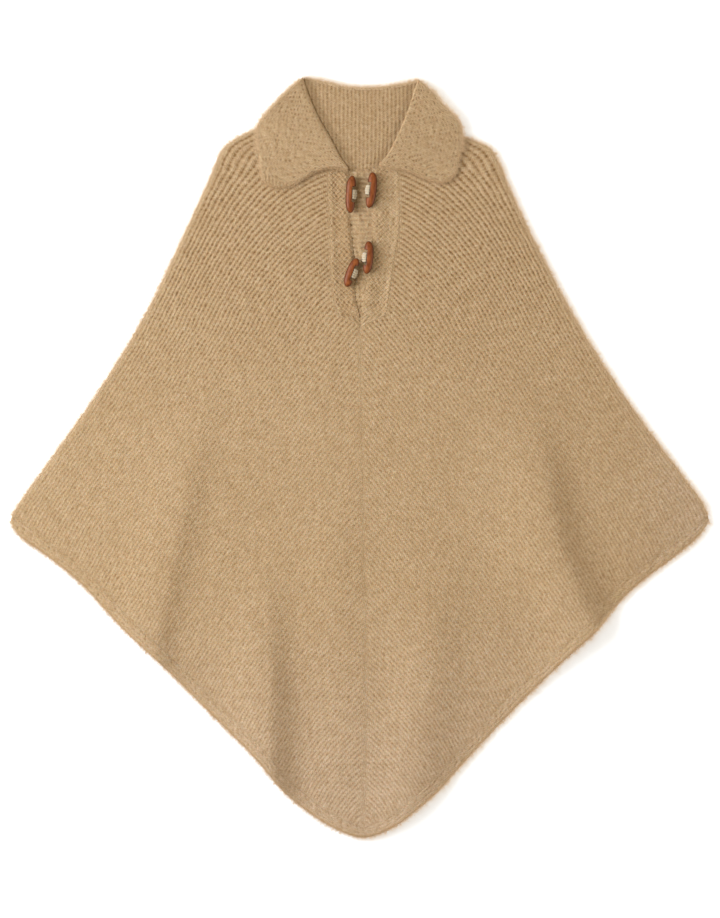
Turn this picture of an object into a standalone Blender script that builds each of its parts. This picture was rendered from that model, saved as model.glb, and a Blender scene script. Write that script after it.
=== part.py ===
"""Hand-knitted poncho sweater, laid flat on its back, in metres.

+X is the viewer's right, +Y runs from the hem point to the collar and +Z is up from the surface.
The origin is under the middle of the garment. The back and the back of the collar lie on the
surface. The front, the placket, the collar's leaves and the toggles lie on them, one wall of
knitting above the other, and the front rises in soft ripples that run out at its hem.
"""

import math

import bmesh
import bpy
import numpy as np

# Cloth
WALL = 0.0036  # thickness of one layer of the chunky knit
GAP = 0.0003  # clearance between layers and across seams
HEM_BAND = 0.0180  # width of the border that is knitted along the hem
SEAM_GAP = 0.0007  # clearance along the seams of the hem and placket, whose walls meet at a slight angle
BACK_INSET = 0.0012  # how far the back stays inside the front's edge

# Levels of the layers, each the height of the middle of its wall
LAYER = WALL + GAP
BACK_LEVEL = WALL / 2
FRONT_LEVEL = BACK_LEVEL + LAYER
BAND_LEVEL = FRONT_LEVEL + LAYER
LEAF_UNDERSIDE = FRONT_LEVEL + WALL / 2 + GAP
TOGGLE_UNDERSIDE = BAND_LEVEL + WALL / 2 + GAP

# Outline of the laid body: columns x, y. The side edges run from the collar to the tips.
SIDE_LEFT = (
    (-0.140, 0.4280),
    (-0.156, 0.4210),
    (-0.169, 0.4130),
    (-0.179, 0.4050),
    (-0.186, 0.3930),
    (-0.199, 0.3610),
    (-0.235, 0.2830),
    (-0.286, 0.1790),
    (-0.351, 0.0750),
    (-0.425, -0.0290),
    (-0.4450, -0.0570),
    (-0.4550, -0.0730),
)
SIDE_RIGHT = (
    (0.140, 0.4290),
    (0.157, 0.4140),
    (0.170, 0.4060),
    (0.178, 0.3970),
    (0.187, 0.3780),
    (0.205, 0.3350),
    (0.230, 0.2830),
    (0.285, 0.1790),
    (0.351, 0.0750),
    (0.428, -0.0290),
    (0.4470, -0.0550),
    (0.4555, -0.0720),
)

# Lower edge of the hem band: columns x, y, from each tip to the point at the bottom. The first
# points round the tip.
TIP_POINTS = 3
HEM_POINT = (0.004, -0.4960)
HEM_LEFT = (
    (-0.4570, -0.0830),
    (-0.4530, -0.0960),
    (-0.4450, -0.1050),
    (-0.421, -0.1200),
    (-0.364, -0.1650),
    (-0.312, -0.2220),
    (-0.260, -0.2700),
    (-0.208, -0.3220),
    (-0.156, -0.3730),
    (-0.130, -0.4000),
    (-0.104, -0.4330),
    (-0.078, -0.4550),
    (-0.040, -0.4810),
    HEM_POINT,
)
HEM_RIGHT = (
    (0.4570, -0.0820),
    (0.4520, -0.0940),
    (0.4420, -0.1050),
    (0.416, -0.1270),
    (0.364, -0.1660),
    (0.338, -0.1910),
    (0.312, -0.2280),
    (0.286, -0.2510),
    (0.234, -0.2990),
    (0.182, -0.3520),
    (0.130, -0.4080),
    (0.104, -0.4390),
    (0.078, -0.4600),
    (0.044, -0.4840),
    HEM_POINT,
)

# How the hem seam is trimmed and carried on
SEAM_TRIM = 0.0030  # the offset seam stops this far from the centre line
SEAM_STEP = 0.0005  # step by which it is carried straight on to the side fold
SEAM_EXTENSION_POINTS = 7
FINE_POINTS = 200  # points of a seam from which matching ones are picked

# The seam where the collar meets the body, on the front under the leaves and on the back: x, y.
NECK_BOTTOM = (0.006, 0.3710)
NECKLINE = (
    (-0.140, 0.4280),
    (-0.112, 0.4060),
    (-0.078, 0.3890),
    (-0.041, 0.3770),
    NECK_BOTTOM,
    (0.050, 0.3770),
    (0.083, 0.3890),
    (0.114, 0.4070),
    (0.140, 0.4290),
)

# Outline of the folded collar from its left neck point over the top to its right one: x, y.
COLLAR_TOP = (
    (-0.137, 0.4310),
    (-0.127, 0.4470),
    (-0.104, 0.4730),
    (-0.088, 0.4900),
    (-0.081, 0.4950),
    (-0.073, 0.4965),
    (-0.049, 0.4930),
    (-0.018, 0.4855),
    (0.006, 0.4845),
    (0.029, 0.4855),
    (0.060, 0.4905),
    (0.075, 0.4945),
    (0.083, 0.4920),
    (0.099, 0.4800),
    (0.114, 0.4630),
    (0.130, 0.4460),
    (0.137, 0.4340),
)

# Each leaf lies between the line where the collar folds over and its own free edge: x, y.
LEAF_FOLD_LEFT = (
    (-0.0740, 0.4935),
    (-0.0700, 0.4810),
    (-0.0640, 0.4650),
    (-0.0520, 0.4390),
    (-0.0390, 0.4170),
    (-0.0270, 0.3940),
    (-0.0150, 0.3765),
)
LEAF_EDGE_LEFT = (
    (-0.0800, 0.4945),
    (-0.1040, 0.4730),
    (-0.1270, 0.4470),
    (-0.1360, 0.4290),
    (-0.1320, 0.3960),
    (-0.1290, 0.3690),
    (-0.1240, 0.3580),
    (-0.1120, 0.3520),
    (-0.0970, 0.3510),
    (-0.0830, 0.3560),
    (-0.0650, 0.3670),
    (-0.0440, 0.3755),
    (-0.0250, 0.3740),
    (-0.0160, 0.3725),
)
LEAF_FOLD_RIGHT = (
    (0.0760, 0.4920),
    (0.0700, 0.4770),
    (0.0650, 0.4590),
    (0.0560, 0.4360),
    (0.0460, 0.4130),
    (0.0350, 0.3930),
    (0.0250, 0.3815),
)
LEAF_EDGE_RIGHT = (
    (0.0810, 0.4930),
    (0.0990, 0.4800),
    (0.1140, 0.4630),
    (0.1300, 0.4460),
    (0.1370, 0.4290),
    (0.1340, 0.4040),
    (0.1290, 0.3870),
    (0.1260, 0.3720),
    (0.1180, 0.3610),
    (0.1040, 0.3570),
    (0.0830, 0.3630),
    (0.0620, 0.3720),
    (0.0440, 0.3745),
    (0.0260, 0.3770),
)

# Placket: columns y, outer seam and inner edge of the left band, inner edge and outer seam of the
# right one.
LEFT_SEAM, LEFT_EDGE, RIGHT_EDGE, RIGHT_SEAM = range(4)
PLACKET_ROWS = (
    (0.3740, -0.0400, -0.0145, 0.0156, 0.0490),
    (0.3500, -0.0395, -0.0142, 0.0158, 0.0500),
    (0.3160, -0.0385, -0.0136, 0.0164, 0.0510),
    (0.2820, -0.0375, -0.0105, 0.0170, 0.0480),
    (0.2570, -0.0365, -0.0078, 0.0140, 0.0430),
    (0.2310, -0.0350, -0.0074, 0.0092, 0.0395),
    (0.2060, -0.0320, -0.0060, 0.0045, 0.0365),
    (0.1860, -0.0280, -0.0012, 0.0012, 0.0335),
)
PLACKET_FOOT = 0.1720  # lowest point of the opening in the front, on the centre line
BAND_FOOT = (0.0043, 0.1752)  # x and y of the outer corner at the foot of each band
BAND_TOP = 0.3690  # upper ends of the bands, just clear of the leaves
BAND_FLAT = 0.0055  # width beside the seam that stays level with the front
BAND_CLIMB = 0.0080  # width over which a band rises onto the underlap
BAND_SETTLE = 0.0200  # length over which a band comes down again at its foot
BAND_SETTLE_START = 0.0220  # distance below the underlap's foot where it is down
BAND_ROWS = 15
BAND_COLUMNS = (0.0, 0.2, 0.5, 0.8, 1.0)  # parts of the way from the seam to the inner edge
UNDERLAP_TOP = 0.3715
UNDERLAP_FOOT = 0.1980
UNDERLAP_TUCK = 0.0090  # how far the underlap runs beneath each band
UNDERLAP_ROWS = 12

# Ripples of the front: columns top x, y, middle x, y, end x, y, height at the end, width on the
# left of the crest, width on the right of it.
RIPPLES = (
    (-0.201, 0.115, -0.221, -0.081, -0.250, -0.240, 0.0070, 0.060, 0.028),
    (-0.124, -0.110, -0.114, -0.280, -0.116, -0.425, 0.0100, 0.050, 0.024),
    (0.096, -0.110, 0.103, -0.295, 0.078, -0.450, 0.0095, 0.052, 0.034),
    (0.226, 0.080, 0.262, -0.121, 0.305, -0.230, 0.0125, 0.050, 0.027),
    (-0.022, 0.060, -0.018, -0.150, -0.010, -0.330, 0.0030, 0.040, 0.026),
)
RIPPLE_START = 0.12  # part of a ripple's length over which it rises from the flat
RIPPLE_SHARE = 0.35  # share of its height that it has there, before it grows towards its end

# Rows and columns of the front wall
SHOULDER_ROWS = (0.4235, 0.4120, 0.4000, 0.3880)
CHEST_START = 0.0130  # distance from the last shoulder row to the first row beside the placket
CHEST_END = 0.0100  # the rows beside the placket stop this far above its last one
BODY_ROW_PITCH = 0.0240
BELOW_ROWS = 11  # rows from the placket's foot to the tips
HEM_ROWS = 19
LAST_ROW_RISE = 0.0015  # the last row lies this far above the point of the hem seam
HALF_COLUMNS = 16
BACK_NECK_POINTS = 25

# Collar
RIB_PITCH = 0.0072
RIB_DEPTH = 0.0007
RIBBED_WIDTH = 0.0792  # half the width over which the inside of the collar shows
STAND_SIDES = (0.0890, 0.1000, 0.1110, 0.1210, 0.1300)  # x of the plain columns beside the ribs
STAND_ROWS = 4
DIP_LENGTH = 0.0140  # length over which the stand comes down to the neckline
FALL_SETBACK = 0.0160  # distance from the free edge of the hidden fall to the neckline
FALL_HALF_WIDTH = 0.1220
FALL_EDGE_POINTS = 21
FALL_TOP_POINTS = 45
LEAF_ROWS = 17
LEAF_COLUMNS = (0.0, 0.05, 0.14, 0.34, 0.54, 0.74, 0.92, 1.0)  # parts of the way, fold to free edge
LEAF_ROUNDING = (0.55, 0.86, 1.0, 1.0, 1.0, 1.0, 1.0, 0.72)  # share of the thickness at each column
LEAF_STEP = 0.0180  # length over which the stand hidden under a leaf ends

# Toggles: columns name, x, y of the middle, length, lean from upright in degrees, side of the
# notch, level that the thread stands on.
TOGGLES = (
    ("upper_left", -0.0112, 0.3420, 0.0485, -3.0, 1, LEAF_UNDERSIDE),
    ("upper_right", 0.0140, 0.3475, 0.0465, -6.5, -1, LEAF_UNDERSIDE),
    ("lower_left", -0.0105, 0.2405, 0.0395, -21.0, 1, TOGGLE_UNDERSIDE),
    ("lower_right", 0.0098, 0.2600, 0.0425, -4.5, -1, LEAF_UNDERSIDE),
)
TOGGLE_WIDTH = 0.0125
TOGGLE_THICKNESS = 0.0088
NOTCH_LENGTH = 0.0140
NOTCH_FLOOR = 0.0014  # distance from the middle of the toggle to the floor of the notch
NOTCH_SLOPE = (0.03, 0.06)  # parts of the half length that a notch's end spreads out and in
NOTCH_SKEW = 0.02  # part by which the points on the notch's floor stand apart
TOGGLE_STATIONS = (0.60, 0.80, 0.93, 0.985)  # parts of the half length beyond the notch
TOGGLE_SQUARENESS = 3.2  # exponent of the rounding of its ends
TOGGLE_BOW = 0.0012
TOGGLE_SIDES = 12
THREAD_WIDTH = 0.0052
THREAD_LENGTH = 0.0112
THREAD_REACH = 0.86  # part of the toggle's thickness that the thread rises to
THREAD_PROFILE = ((0.0, 0.92), (0.25, 1.0), (0.72, 1.0), (0.92, 0.82), (1.0, 0.45))  # height, size
THREAD_SIDES = 10

CLOTH_COLOUR = (0.52, 0.36, 0.19, 1.0)
TOGGLE_COLOUR = (0.26, 0.06, 0.02, 1.0)
THREAD_COLOUR = (0.72, 0.66, 0.52, 1.0)


# ---------------------------------------------------------------- scene and materials


def clear_scene():
    for thing in list(bpy.data.objects):
        bpy.data.objects.remove(thing, do_unlink=True)


def material(name, colour, roughness):
    made = bpy.data.materials.new(name)
    made.use_nodes = True
    shader = made.node_tree.nodes["Principled BSDF"]
    shader.inputs["Base Color"].default_value = colour
    shader.inputs["Roughness"].default_value = roughness
    shader.inputs["Metallic"].default_value = 0.0
    return made


def add_object(name, data, finish):
    made = bpy.data.objects.new(name, data)
    GARMENT.objects.link(made)
    data.materials.append(finish)
    return made


# ---------------------------------------------------------------- plane curves


def spline(points, per_span=6):
    """Dense points on a smooth curve through the given ones."""
    p = np.array(points, float)
    p = np.vstack([2 * p[0] - p[1], p, 2 * p[-1] - p[-2]])
    out = []
    for a, b, c, d in zip(p[:-3], p[1:-2], p[2:-1], p[3:]):
        for t in np.arange(per_span) / per_span:
            square = 2 * a - 5 * b + 4 * c - d
            cube = 3 * b - a - 3 * c + d
            out.append(0.5 * (2 * b + (c - a) * t + square * t**2 + cube * t**3))
    out.append(p[-2])
    return np.array(out)


def lengths_along(curve):
    return np.concatenate([[0.0], np.cumsum(np.linalg.norm(np.diff(curve, axis=0), axis=1))])


def resample(curve, count):
    """The curve as a given number of evenly spaced points."""
    along = lengths_along(curve)
    wanted = np.linspace(0.0, along[-1], count)
    return np.column_stack([np.interp(wanted, along, curve[:, k]) for k in (0, 1)])


def offset(curve, distance):
    """The curve moved sideways, to the left of its direction where the distance is positive."""
    tangent = np.gradient(curve, axis=0)
    tangent /= np.linalg.norm(tangent, axis=1)[:, None]
    return curve + distance * np.column_stack([-tangent[:, 1], tangent[:, 0]])


def hem_seam(edge_points, side_curve, distance):
    """The line where the hem band is joined on, from the side fold to the centre line."""
    seam = offset(spline(edge_points[TIP_POINTS:]), distance)
    seam = seam[(seam[:, 0] - HEM_POINT[0]) * np.sign(distance) < -SEAM_TRIM]
    seam = np.vstack([seam, [HEM_POINT[0], HEM_POINT[1] + HEM_BAND]])
    back = (seam[0] - seam[1]) / np.linalg.norm(seam[0] - seam[1])
    outward = np.sign(back[0])
    corner = seam[0]
    while (x_at(side_curve, corner[1]) - corner[0]) * outward > 0.0:
        corner = corner + SEAM_STEP * back
    return np.vstack([np.linspace(corner, seam[0], SEAM_EXTENSION_POINTS)[:-1], seam])


def x_at(curve, y):
    """x of a curve that runs down the page, at a height y."""
    order = np.argsort(curve[:, 1])
    return float(np.interp(y, curve[order, 1], curve[order, 0]))


def y_at(curve, x):
    """y of a curve that runs across the page, at a place x."""
    order = np.argsort(curve[:, 0])
    return float(np.interp(x, curve[order, 0], curve[order, 1]))


def ease(value):
    value = min(max(value, 0.0), 1.0)
    return value * value * (3.0 - 2.0 * value)


# ---------------------------------------------------------------- heights


def ripple_height(x, y):
    """How far the ripples lift the front above flat."""
    total = 0.0
    for x0, y0, x1, y1, x2, y2, height, left, right in RIPPLES:
        crest_x = np.interp(y, (y2, y1, y0), (x2, x1, x0))
        along = (y0 - y) / (y0 - y2)
        if along <= 0.0:
            continue
        rise = ease(along / RIPPLE_START) * (RIPPLE_SHARE + (1.0 - RIPPLE_SHARE) * min(along, 1.0))
        across = x - crest_x
        width = right if across > 0.0 else left
        total += height * rise * math.exp(-((across / width) ** 2))
    return total


def front_level(x, y):
    return FRONT_LEVEL + ripple_height(x, y)


def stand_drop(x, y):
    """How far the collar's stand comes down to meet the back at the neckline."""
    above_neckline = y - y_at(NECK_CURVE, x)
    return LAYER * (1.0 - ease(above_neckline / DIP_LENGTH))


# ---------------------------------------------------------------- builders


def grid_faces(mesh, rows):
    """Quads between rows of vertices of equal length."""
    for upper, lower in zip(rows[:-1], rows[1:]):
        for k in range(len(upper) - 1):
            mesh.faces.new((upper[k], lower[k], lower[k + 1], upper[k + 1]))


def wall(name, grids, level, finish):
    """A wall of knitting: open grids of plane points at a level, thickened to both sides."""
    mesh = bmesh.new()
    for grid in grids:
        grid_faces(mesh, [[mesh.verts.new((x, y, level(x, y))) for x, y in row] for row in grid])
    bmesh.ops.remove_doubles(mesh, verts=mesh.verts, dist=1e-5)
    bmesh.ops.recalc_face_normals(mesh, faces=mesh.faces)
    data = bpy.data.meshes.new(name)
    mesh.to_mesh(data)
    mesh.free()
    made = add_object(name, data, finish)
    shell = made.modifiers.new("Wall", "SOLIDIFY")
    shell.thickness = WALL
    shell.offset = 0.0
    shell.use_even_offset = True
    data.shade_smooth()
    return made


def rim(rows):
    """The vertices round a grid, in order."""
    right = [row[-1] for row in rows[1:-1]]
    left = [row[0] for row in rows[-2:0:-1]]
    return rows[0] + right + rows[-1][::-1] + left


def slab(name, grid, bottom, top, finish):
    """A closed solid over a grid of plane points, between a bottom and a top height."""
    mesh = bmesh.new()
    upper = [[mesh.verts.new((x, y, top(j, x, y))) for j, (x, y) in enumerate(row)] for row in grid]
    lower = [[mesh.verts.new((x, y, bottom(x, y))) for x, y in row] for row in grid]
    grid_faces(mesh, upper)
    grid_faces(mesh, [row[::-1] for row in lower])
    rim_up, rim_low = rim(upper), rim(lower)
    for k in range(len(rim_up)):
        after = (k + 1) % len(rim_up)
        mesh.faces.new((rim_up[k], rim_up[after], rim_low[after], rim_low[k]))
    bmesh.ops.recalc_face_normals(mesh, faces=mesh.faces)
    data = bpy.data.meshes.new(name)
    mesh.to_mesh(data)
    mesh.free()
    return add_object(name, data, finish)


def plate(name, outline, level, finish):
    """A flat wall of knitting with a given outline, as a filled curve."""
    data = bpy.data.curves.new(name, "CURVE")
    data.dimensions = "2D"
    data.fill_mode = "BOTH"
    data.extrude = WALL / 2
    line = data.splines.new("POLY")
    line.points.add(len(outline) - 1)
    for point, (x, y) in zip(line.points, outline):
        point.co = (x, y, 0.0, 1.0)
    line.use_cyclic_u = True
    made = add_object(name, data, finish)
    made.location = (0.0, 0.0, level)
    return made


def loft(name, rings, finish):
    """A closed solid through rings of equal length, capped at both ends."""
    mesh = bmesh.new()
    loops = [[mesh.verts.new(point) for point in ring] for ring in rings]
    for near, far in zip(loops[:-1], loops[1:]):
        for k in range(len(near)):
            after = (k + 1) % len(near)
            mesh.faces.new((near[k], near[after], far[after], far[k]))
    mesh.faces.new(loops[0])
    mesh.faces.new(loops[-1])
    bmesh.ops.recalc_face_normals(mesh, faces=mesh.faces)
    data = bpy.data.meshes.new(name)
    mesh.to_mesh(data)
    mesh.free()
    data.shade_smooth()
    return add_object(name, data, finish)


# ---------------------------------------------------------------- body


def placket_x(y, column):
    rows = PLACKET_CURVES[column]
    return float(np.interp(y, rows[::-1, 0], rows[::-1, 1]))


def centre_line(y):
    return HEM_POINT[0] * (PLACKET_FOOT - y) / (PLACKET_FOOT - HEM_POINT[1])


def body_rows():
    """Heights of the front's rows: shoulder, chest, the placket's foot, and down to the hem band."""
    seam_top = SEAM_LEFT[0, 1]
    band_foot = PLACKET_ROWS[-1][0]
    chest = np.arange(SHOULDER_ROWS[-1] - CHEST_START, band_foot + CHEST_END, -BODY_ROW_PITCH)
    below = np.linspace(PLACKET_FOOT, seam_top, BELOW_ROWS)
    hem = resample(SEAM_LEFT, HEM_ROWS + 1)[1:-1, 1]
    last = SEAM_LEFT[-1, 1] + LAST_ROW_RISE
    return [*SHOULDER_ROWS, *chest, band_foot, *below, *hem, last]


def outer_x(side, y):
    """The front's own outer edge at a height: the side fold, or the hem seam below the tips."""
    fold, seam = (SIDE_CURVE_LEFT, SEAM_LEFT) if side < 0 else (SIDE_CURVE_RIGHT, SEAM_RIGHT)
    return x_at(seam, y) if y < seam[0, 1] else x_at(fold, y)


def inner_x(side, y):
    """The front's inner edge at a height: the neckline, the placket's seam or the centre line."""
    if y <= PLACKET_FOOT + 1e-6:
        return centre_line(y)
    seam = placket_x(min(y, PLACKET_ROWS[0][0]), LEFT_SEAM if side < 0 else RIGHT_SEAM)
    half = NECK_CURVE[side * (NECK_CURVE[:, 0] - NECK_BOTTOM[0]) > 0.0]
    if y < y_at(NECK_CURVE, seam) + 1e-6:
        return seam + side * SEAM_GAP
    return x_at(half, y)


def build_body():
    halves = []
    for side in (-1, 1):
        grid = []
        for y in BODY_ROWS:
            outer, inner = outer_x(side, y), inner_x(side, y)
            grid.append([(outer + (inner - outer) * k / HALF_COLUMNS, y) for k in range(HALF_COLUMNS + 1)])
        halves.append(grid)
    wall("body_front", halves, front_level, KNIT)

    left = offset(SIDE_CURVE_LEFT, BACK_INSET)
    right = offset(SIDE_CURVE_RIGHT, -BACK_INSET)
    seam_left, seam_right = hem_corners(-1)[0], hem_corners(1)[0]
    left = left[left[:, 1] > seam_left[0, 1]]
    right = right[right[:, 1] > seam_right[0, 1]]
    neck = resample(NECK_CURVE, BACK_NECK_POINTS)[1:-1]
    outline = np.vstack([neck, right[1:], seam_right[1:], seam_left[:0:-1], left[1:][::-1]])
    plate("body_back", outline, BACK_LEVEL, KNIT)


def hem_corners(side):
    """Matching points of the hem band's seam and lower edge, at the heights of the body's rows."""
    seam, edge = (SEAM_LEFT, EDGE_LEFT) if side < 0 else (SEAM_RIGHT, EDGE_RIGHT)
    seam, edge = resample(seam, FINE_POINTS), resample(edge, FINE_POINTS)
    heights = [seam[0, 1]] + [y for y in BODY_ROWS if y < seam[0, 1] - 1e-6]
    part = np.linspace(0.0, 1.0, FINE_POINTS)
    at = np.interp(heights, seam[::-1, 1], part[::-1])

    def picked(curve):
        return np.column_stack([np.interp(at, part, curve[:, k]) for k in (0, 1)])

    return picked(seam), picked(edge)


def build_hem():
    """The border along the hem: a strip on the front, and a flat one on the back."""
    inner, outer = [], []
    for side in (-1, 1):
        seam_points, edge_points = hem_corners(side)
        away = edge_points - seam_points
        away /= np.linalg.norm(away, axis=1)[:, None]
        inner.append(seam_points + SEAM_GAP * away)
        outer.append(edge_points)
    bottom_seam = SEAM_LEFT[-1:] - (0.0, SEAM_GAP)
    bottom_edge = np.array([HEM_POINT])
    inner = np.vstack([inner[0], bottom_seam, inner[1][::-1]])
    outer = np.vstack([outer[0], bottom_edge, outer[1][::-1]])
    grid = [inner + (outer - inner) * part for part in (0.0, 0.5, 1.0)]
    wall("hem_front", [grid], front_level, KNIT)

    inset = outer + (inner - outer) * BACK_INSET / HEM_BAND
    plate("hem_back", np.vstack([inner, inset[::-1]]), BACK_LEVEL, KNIT)


# ---------------------------------------------------------------- collar


def build_stand():
    """The inside of the collar, with ribs that show in the neck."""
    ribbed_columns = np.arange(-RIBBED_WIDTH, RIBBED_WIDTH + 1e-6, RIB_PITCH / 2)
    columns = [*(-x for x in STAND_SIDES[::-1]), *ribbed_columns, *STAND_SIDES]
    strips = []
    for x in columns:
        low, high = y_at(NECK_CURVE, x), y_at(TOP_CURVE, x)
        flat_part = np.linspace(high, low + DIP_LENGTH, STAND_ROWS)
        strips.append([(x, y) for y in (*flat_part, low + DIP_LENGTH / 2, low + SEAM_GAP)])
    grid = list(zip(*strips))

    def stand_top(column, x, y):
        furrow = abs(x) < RIBBED_WIDTH - 1e-6 and column % 2 == 0
        return FRONT_LEVEL + WALL / 2 - RIB_DEPTH * furrow - stand_drop(x, y)

    def stand_bottom(x, y):
        return FRONT_LEVEL - WALL / 2 - stand_drop(x, y)

    slab("collar_stand", grid, stand_bottom, stand_top, KNIT)


def build_fall():
    """The outer half of the collar, folded behind the stand and down onto the surface."""

    def limit(x):
        return y_at(NECK_CURVE, x) + FALL_SETBACK

    free_edge = [(x, limit(x)) for x in np.linspace(FALL_HALF_WIDTH, -FALL_HALF_WIDTH, FALL_EDGE_POINTS)]
    top_edge = [point for point in resample(TOP_CURVE, FALL_TOP_POINTS) if point[1] > limit(point[0])]
    plate("collar_fall", np.vstack([top_edge, free_edge]), BACK_LEVEL, KNIT)


def build_leaves():
    """The two leaves, each thicker where the stand is hidden under it."""

    def leaf_top(column, x, y):
        doubled = ease(0.5 + (y - y_at(NECK_CURVE, x)) / LEAF_STEP)
        return LEAF_UNDERSIDE + (WALL + LAYER * doubled) * LEAF_ROUNDING[column]

    for name, fold, edge in (
        ("collar_leaf_left", LEAF_FOLD_LEFT, LEAF_EDGE_LEFT),
        ("collar_leaf_right", LEAF_FOLD_RIGHT, LEAF_EDGE_RIGHT),
    ):
        inner, outer = resample(spline(fold), LEAF_ROWS), resample(spline(edge), LEAF_ROWS)
        grid = [[tuple(a + (b - a) * part) for part in LEAF_COLUMNS] for a, b in zip(inner, outer)]
        slab(name, grid, lambda x, y: LEAF_UNDERSIDE, leaf_top, KNIT)


# ---------------------------------------------------------------- placket


def build_placket():
    """Two bands over an underlap. Each rises from the front's level onto the underlap."""
    heights = [*np.linspace(BAND_TOP, PLACKET_ROWS[-1][0], BAND_ROWS), BAND_FOOT[1]]
    for name, side, seam, edge in (
        ("placket_band_left", -1, LEFT_SEAM, LEFT_EDGE),
        ("placket_band_right", 1, RIGHT_SEAM, RIGHT_EDGE),
    ):
        grid = []
        for y in heights:
            if y > PLACKET_ROWS[-1][0] - 1e-6:
                outside, inside = placket_x(y, seam), placket_x(y, edge)
            else:
                outside, inside = side * BAND_FOOT[0], side * GAP
            grid.append([(outside + (inside - outside) * part, y) for part in BAND_COLUMNS])

        def band_level(x, y):
            climb = ease((abs(x - placket_x(y, seam)) - BAND_FLAT) / BAND_CLIMB)
            foot = ease((y - UNDERLAP_FOOT + BAND_SETTLE_START) / BAND_SETTLE)
            return FRONT_LEVEL + LAYER * climb * foot

        wall(name, [grid], band_level, KNIT)

    down = np.linspace(UNDERLAP_TOP, UNDERLAP_FOOT, UNDERLAP_ROWS)
    right = [(placket_x(y, RIGHT_EDGE) + UNDERLAP_TUCK, y) for y in down]
    left = [(placket_x(y, LEFT_EDGE) - UNDERLAP_TUCK, y) for y in down[::-1]]
    plate("placket_underlap", right + left, FRONT_LEVEL, KNIT)


# ---------------------------------------------------------------- toggles


def placed(points, middle, lean):
    """Points of an upright part, leant in the plane and moved to its place."""
    turn = math.radians(lean)
    c, s = math.cos(turn), math.sin(turn)
    return [(middle[0] + c * x - s * y, middle[1] + s * x + c * y, z) for x, y, z in points]


def toggle_rings(length, notch_side):
    """Rings of a rounded bar with a notch in one side, from its lower to its upper end."""
    half = length / 2
    notch = NOTCH_LENGTH / 2 / half
    upper = [notch - NOTCH_SLOPE[1], notch + NOTCH_SLOPE[0], *TOGGLE_STATIONS]
    stations = [*(-part for part in upper[::-1]), 0.0, *upper]
    rings = []
    for station in stations:
        round_end = math.sqrt(1.0 - abs(station) ** TOGGLE_SQUARENESS)
        bow = -notch_side * TOGGLE_BOW * (1.0 - station**2)
        ring = []
        for k in range(TOGGLE_SIDES):
            angle = 2 * math.pi * k / TOGGLE_SIDES
            across, up = math.cos(angle), math.sin(angle)
            x = across * TOGGLE_WIDTH / 2 * round_end + bow
            if abs(station) < notch and x * notch_side > NOTCH_FLOOR:
                x = NOTCH_FLOOR * notch_side * (1.0 + NOTCH_SKEW * across * notch_side)
            z = TOGGLE_THICKNESS / 2 * (1.0 + up * round_end)
            ring.append((x, station * half, TOGGLE_UNDERSIDE + z))
        rings.append(ring)
    return rings


def thread_rings(notch_side, foot):
    """Rings of the bundle of thread that fills the notch, from the cloth up."""
    x_middle = notch_side * (NOTCH_FLOOR + GAP + THREAD_WIDTH / 2)
    top = TOGGLE_UNDERSIDE + TOGGLE_THICKNESS * THREAD_REACH
    rings = []
    for part, size in THREAD_PROFILE:
        z = foot + (top - foot) * part
        ring = []
        for k in range(THREAD_SIDES):
            angle = 2 * math.pi * k / THREAD_SIDES
            x = x_middle + math.cos(angle) * THREAD_WIDTH / 2 * size
            ring.append((x, math.sin(angle) * THREAD_LENGTH / 2 * size, z))
        rings.append(ring)
    return rings


def build_toggles():
    for name, x, y, length, lean, notch_side, foot in TOGGLES:
        rings = [placed(ring, (x, y), lean) for ring in toggle_rings(length, notch_side)]
        loft("toggle_" + name, rings, HORN)
        rings = [placed(ring, (x, y), lean) for ring in thread_rings(notch_side, foot)]
        loft("thread_" + name, rings, THREAD)


# ---------------------------------------------------------------- the garment

clear_scene()
GARMENT = bpy.data.collections.new("knitted_poncho")
bpy.context.scene.collection.children.link(GARMENT)
KNIT = material("camel_knit", CLOTH_COLOUR, 0.9)
HORN = material("brown_toggle", TOGGLE_COLOUR, 0.35)
THREAD = material("cream_thread", THREAD_COLOUR, 0.8)

NECK_CURVE = spline(NECKLINE)
TOP_CURVE = spline(COLLAR_TOP)
SIDE_CURVE_LEFT = spline(SIDE_LEFT)
SIDE_CURVE_RIGHT = spline(SIDE_RIGHT)
EDGE_LEFT = spline(HEM_LEFT)
EDGE_RIGHT = spline(HEM_RIGHT)
SEAM_LEFT = hem_seam(HEM_LEFT, SIDE_CURVE_LEFT, HEM_BAND)
SEAM_RIGHT = hem_seam(HEM_RIGHT, SIDE_CURVE_RIGHT, -HEM_BAND)
PLACKET_CURVES = [spline([(row[0], row[column]) for row in PLACKET_ROWS]) for column in (1, 2, 3, 4)]
BODY_ROWS = body_rows()

build_body()
build_hem()
build_stand()
build_fall()
build_leaves()
build_placket()
build_toggles()
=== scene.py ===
"""Looks of the knitted poncho sweater: its stitches, folds, rolled edges, toggles, yarn and light.

Everything is in metres in the CAD model's frame: +X is the viewer's right, +Y runs from the hem
point to the collar and +Z is up from the surface. Levels and most outline points repeat the
part's own. A few outline points, the ripples and the placket's edges are finer than the part's.
"""

import bmesh
import bpy
import numpy as np
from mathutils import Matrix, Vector
from mathutils.geometry import delaunay_2d_cdt


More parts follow.
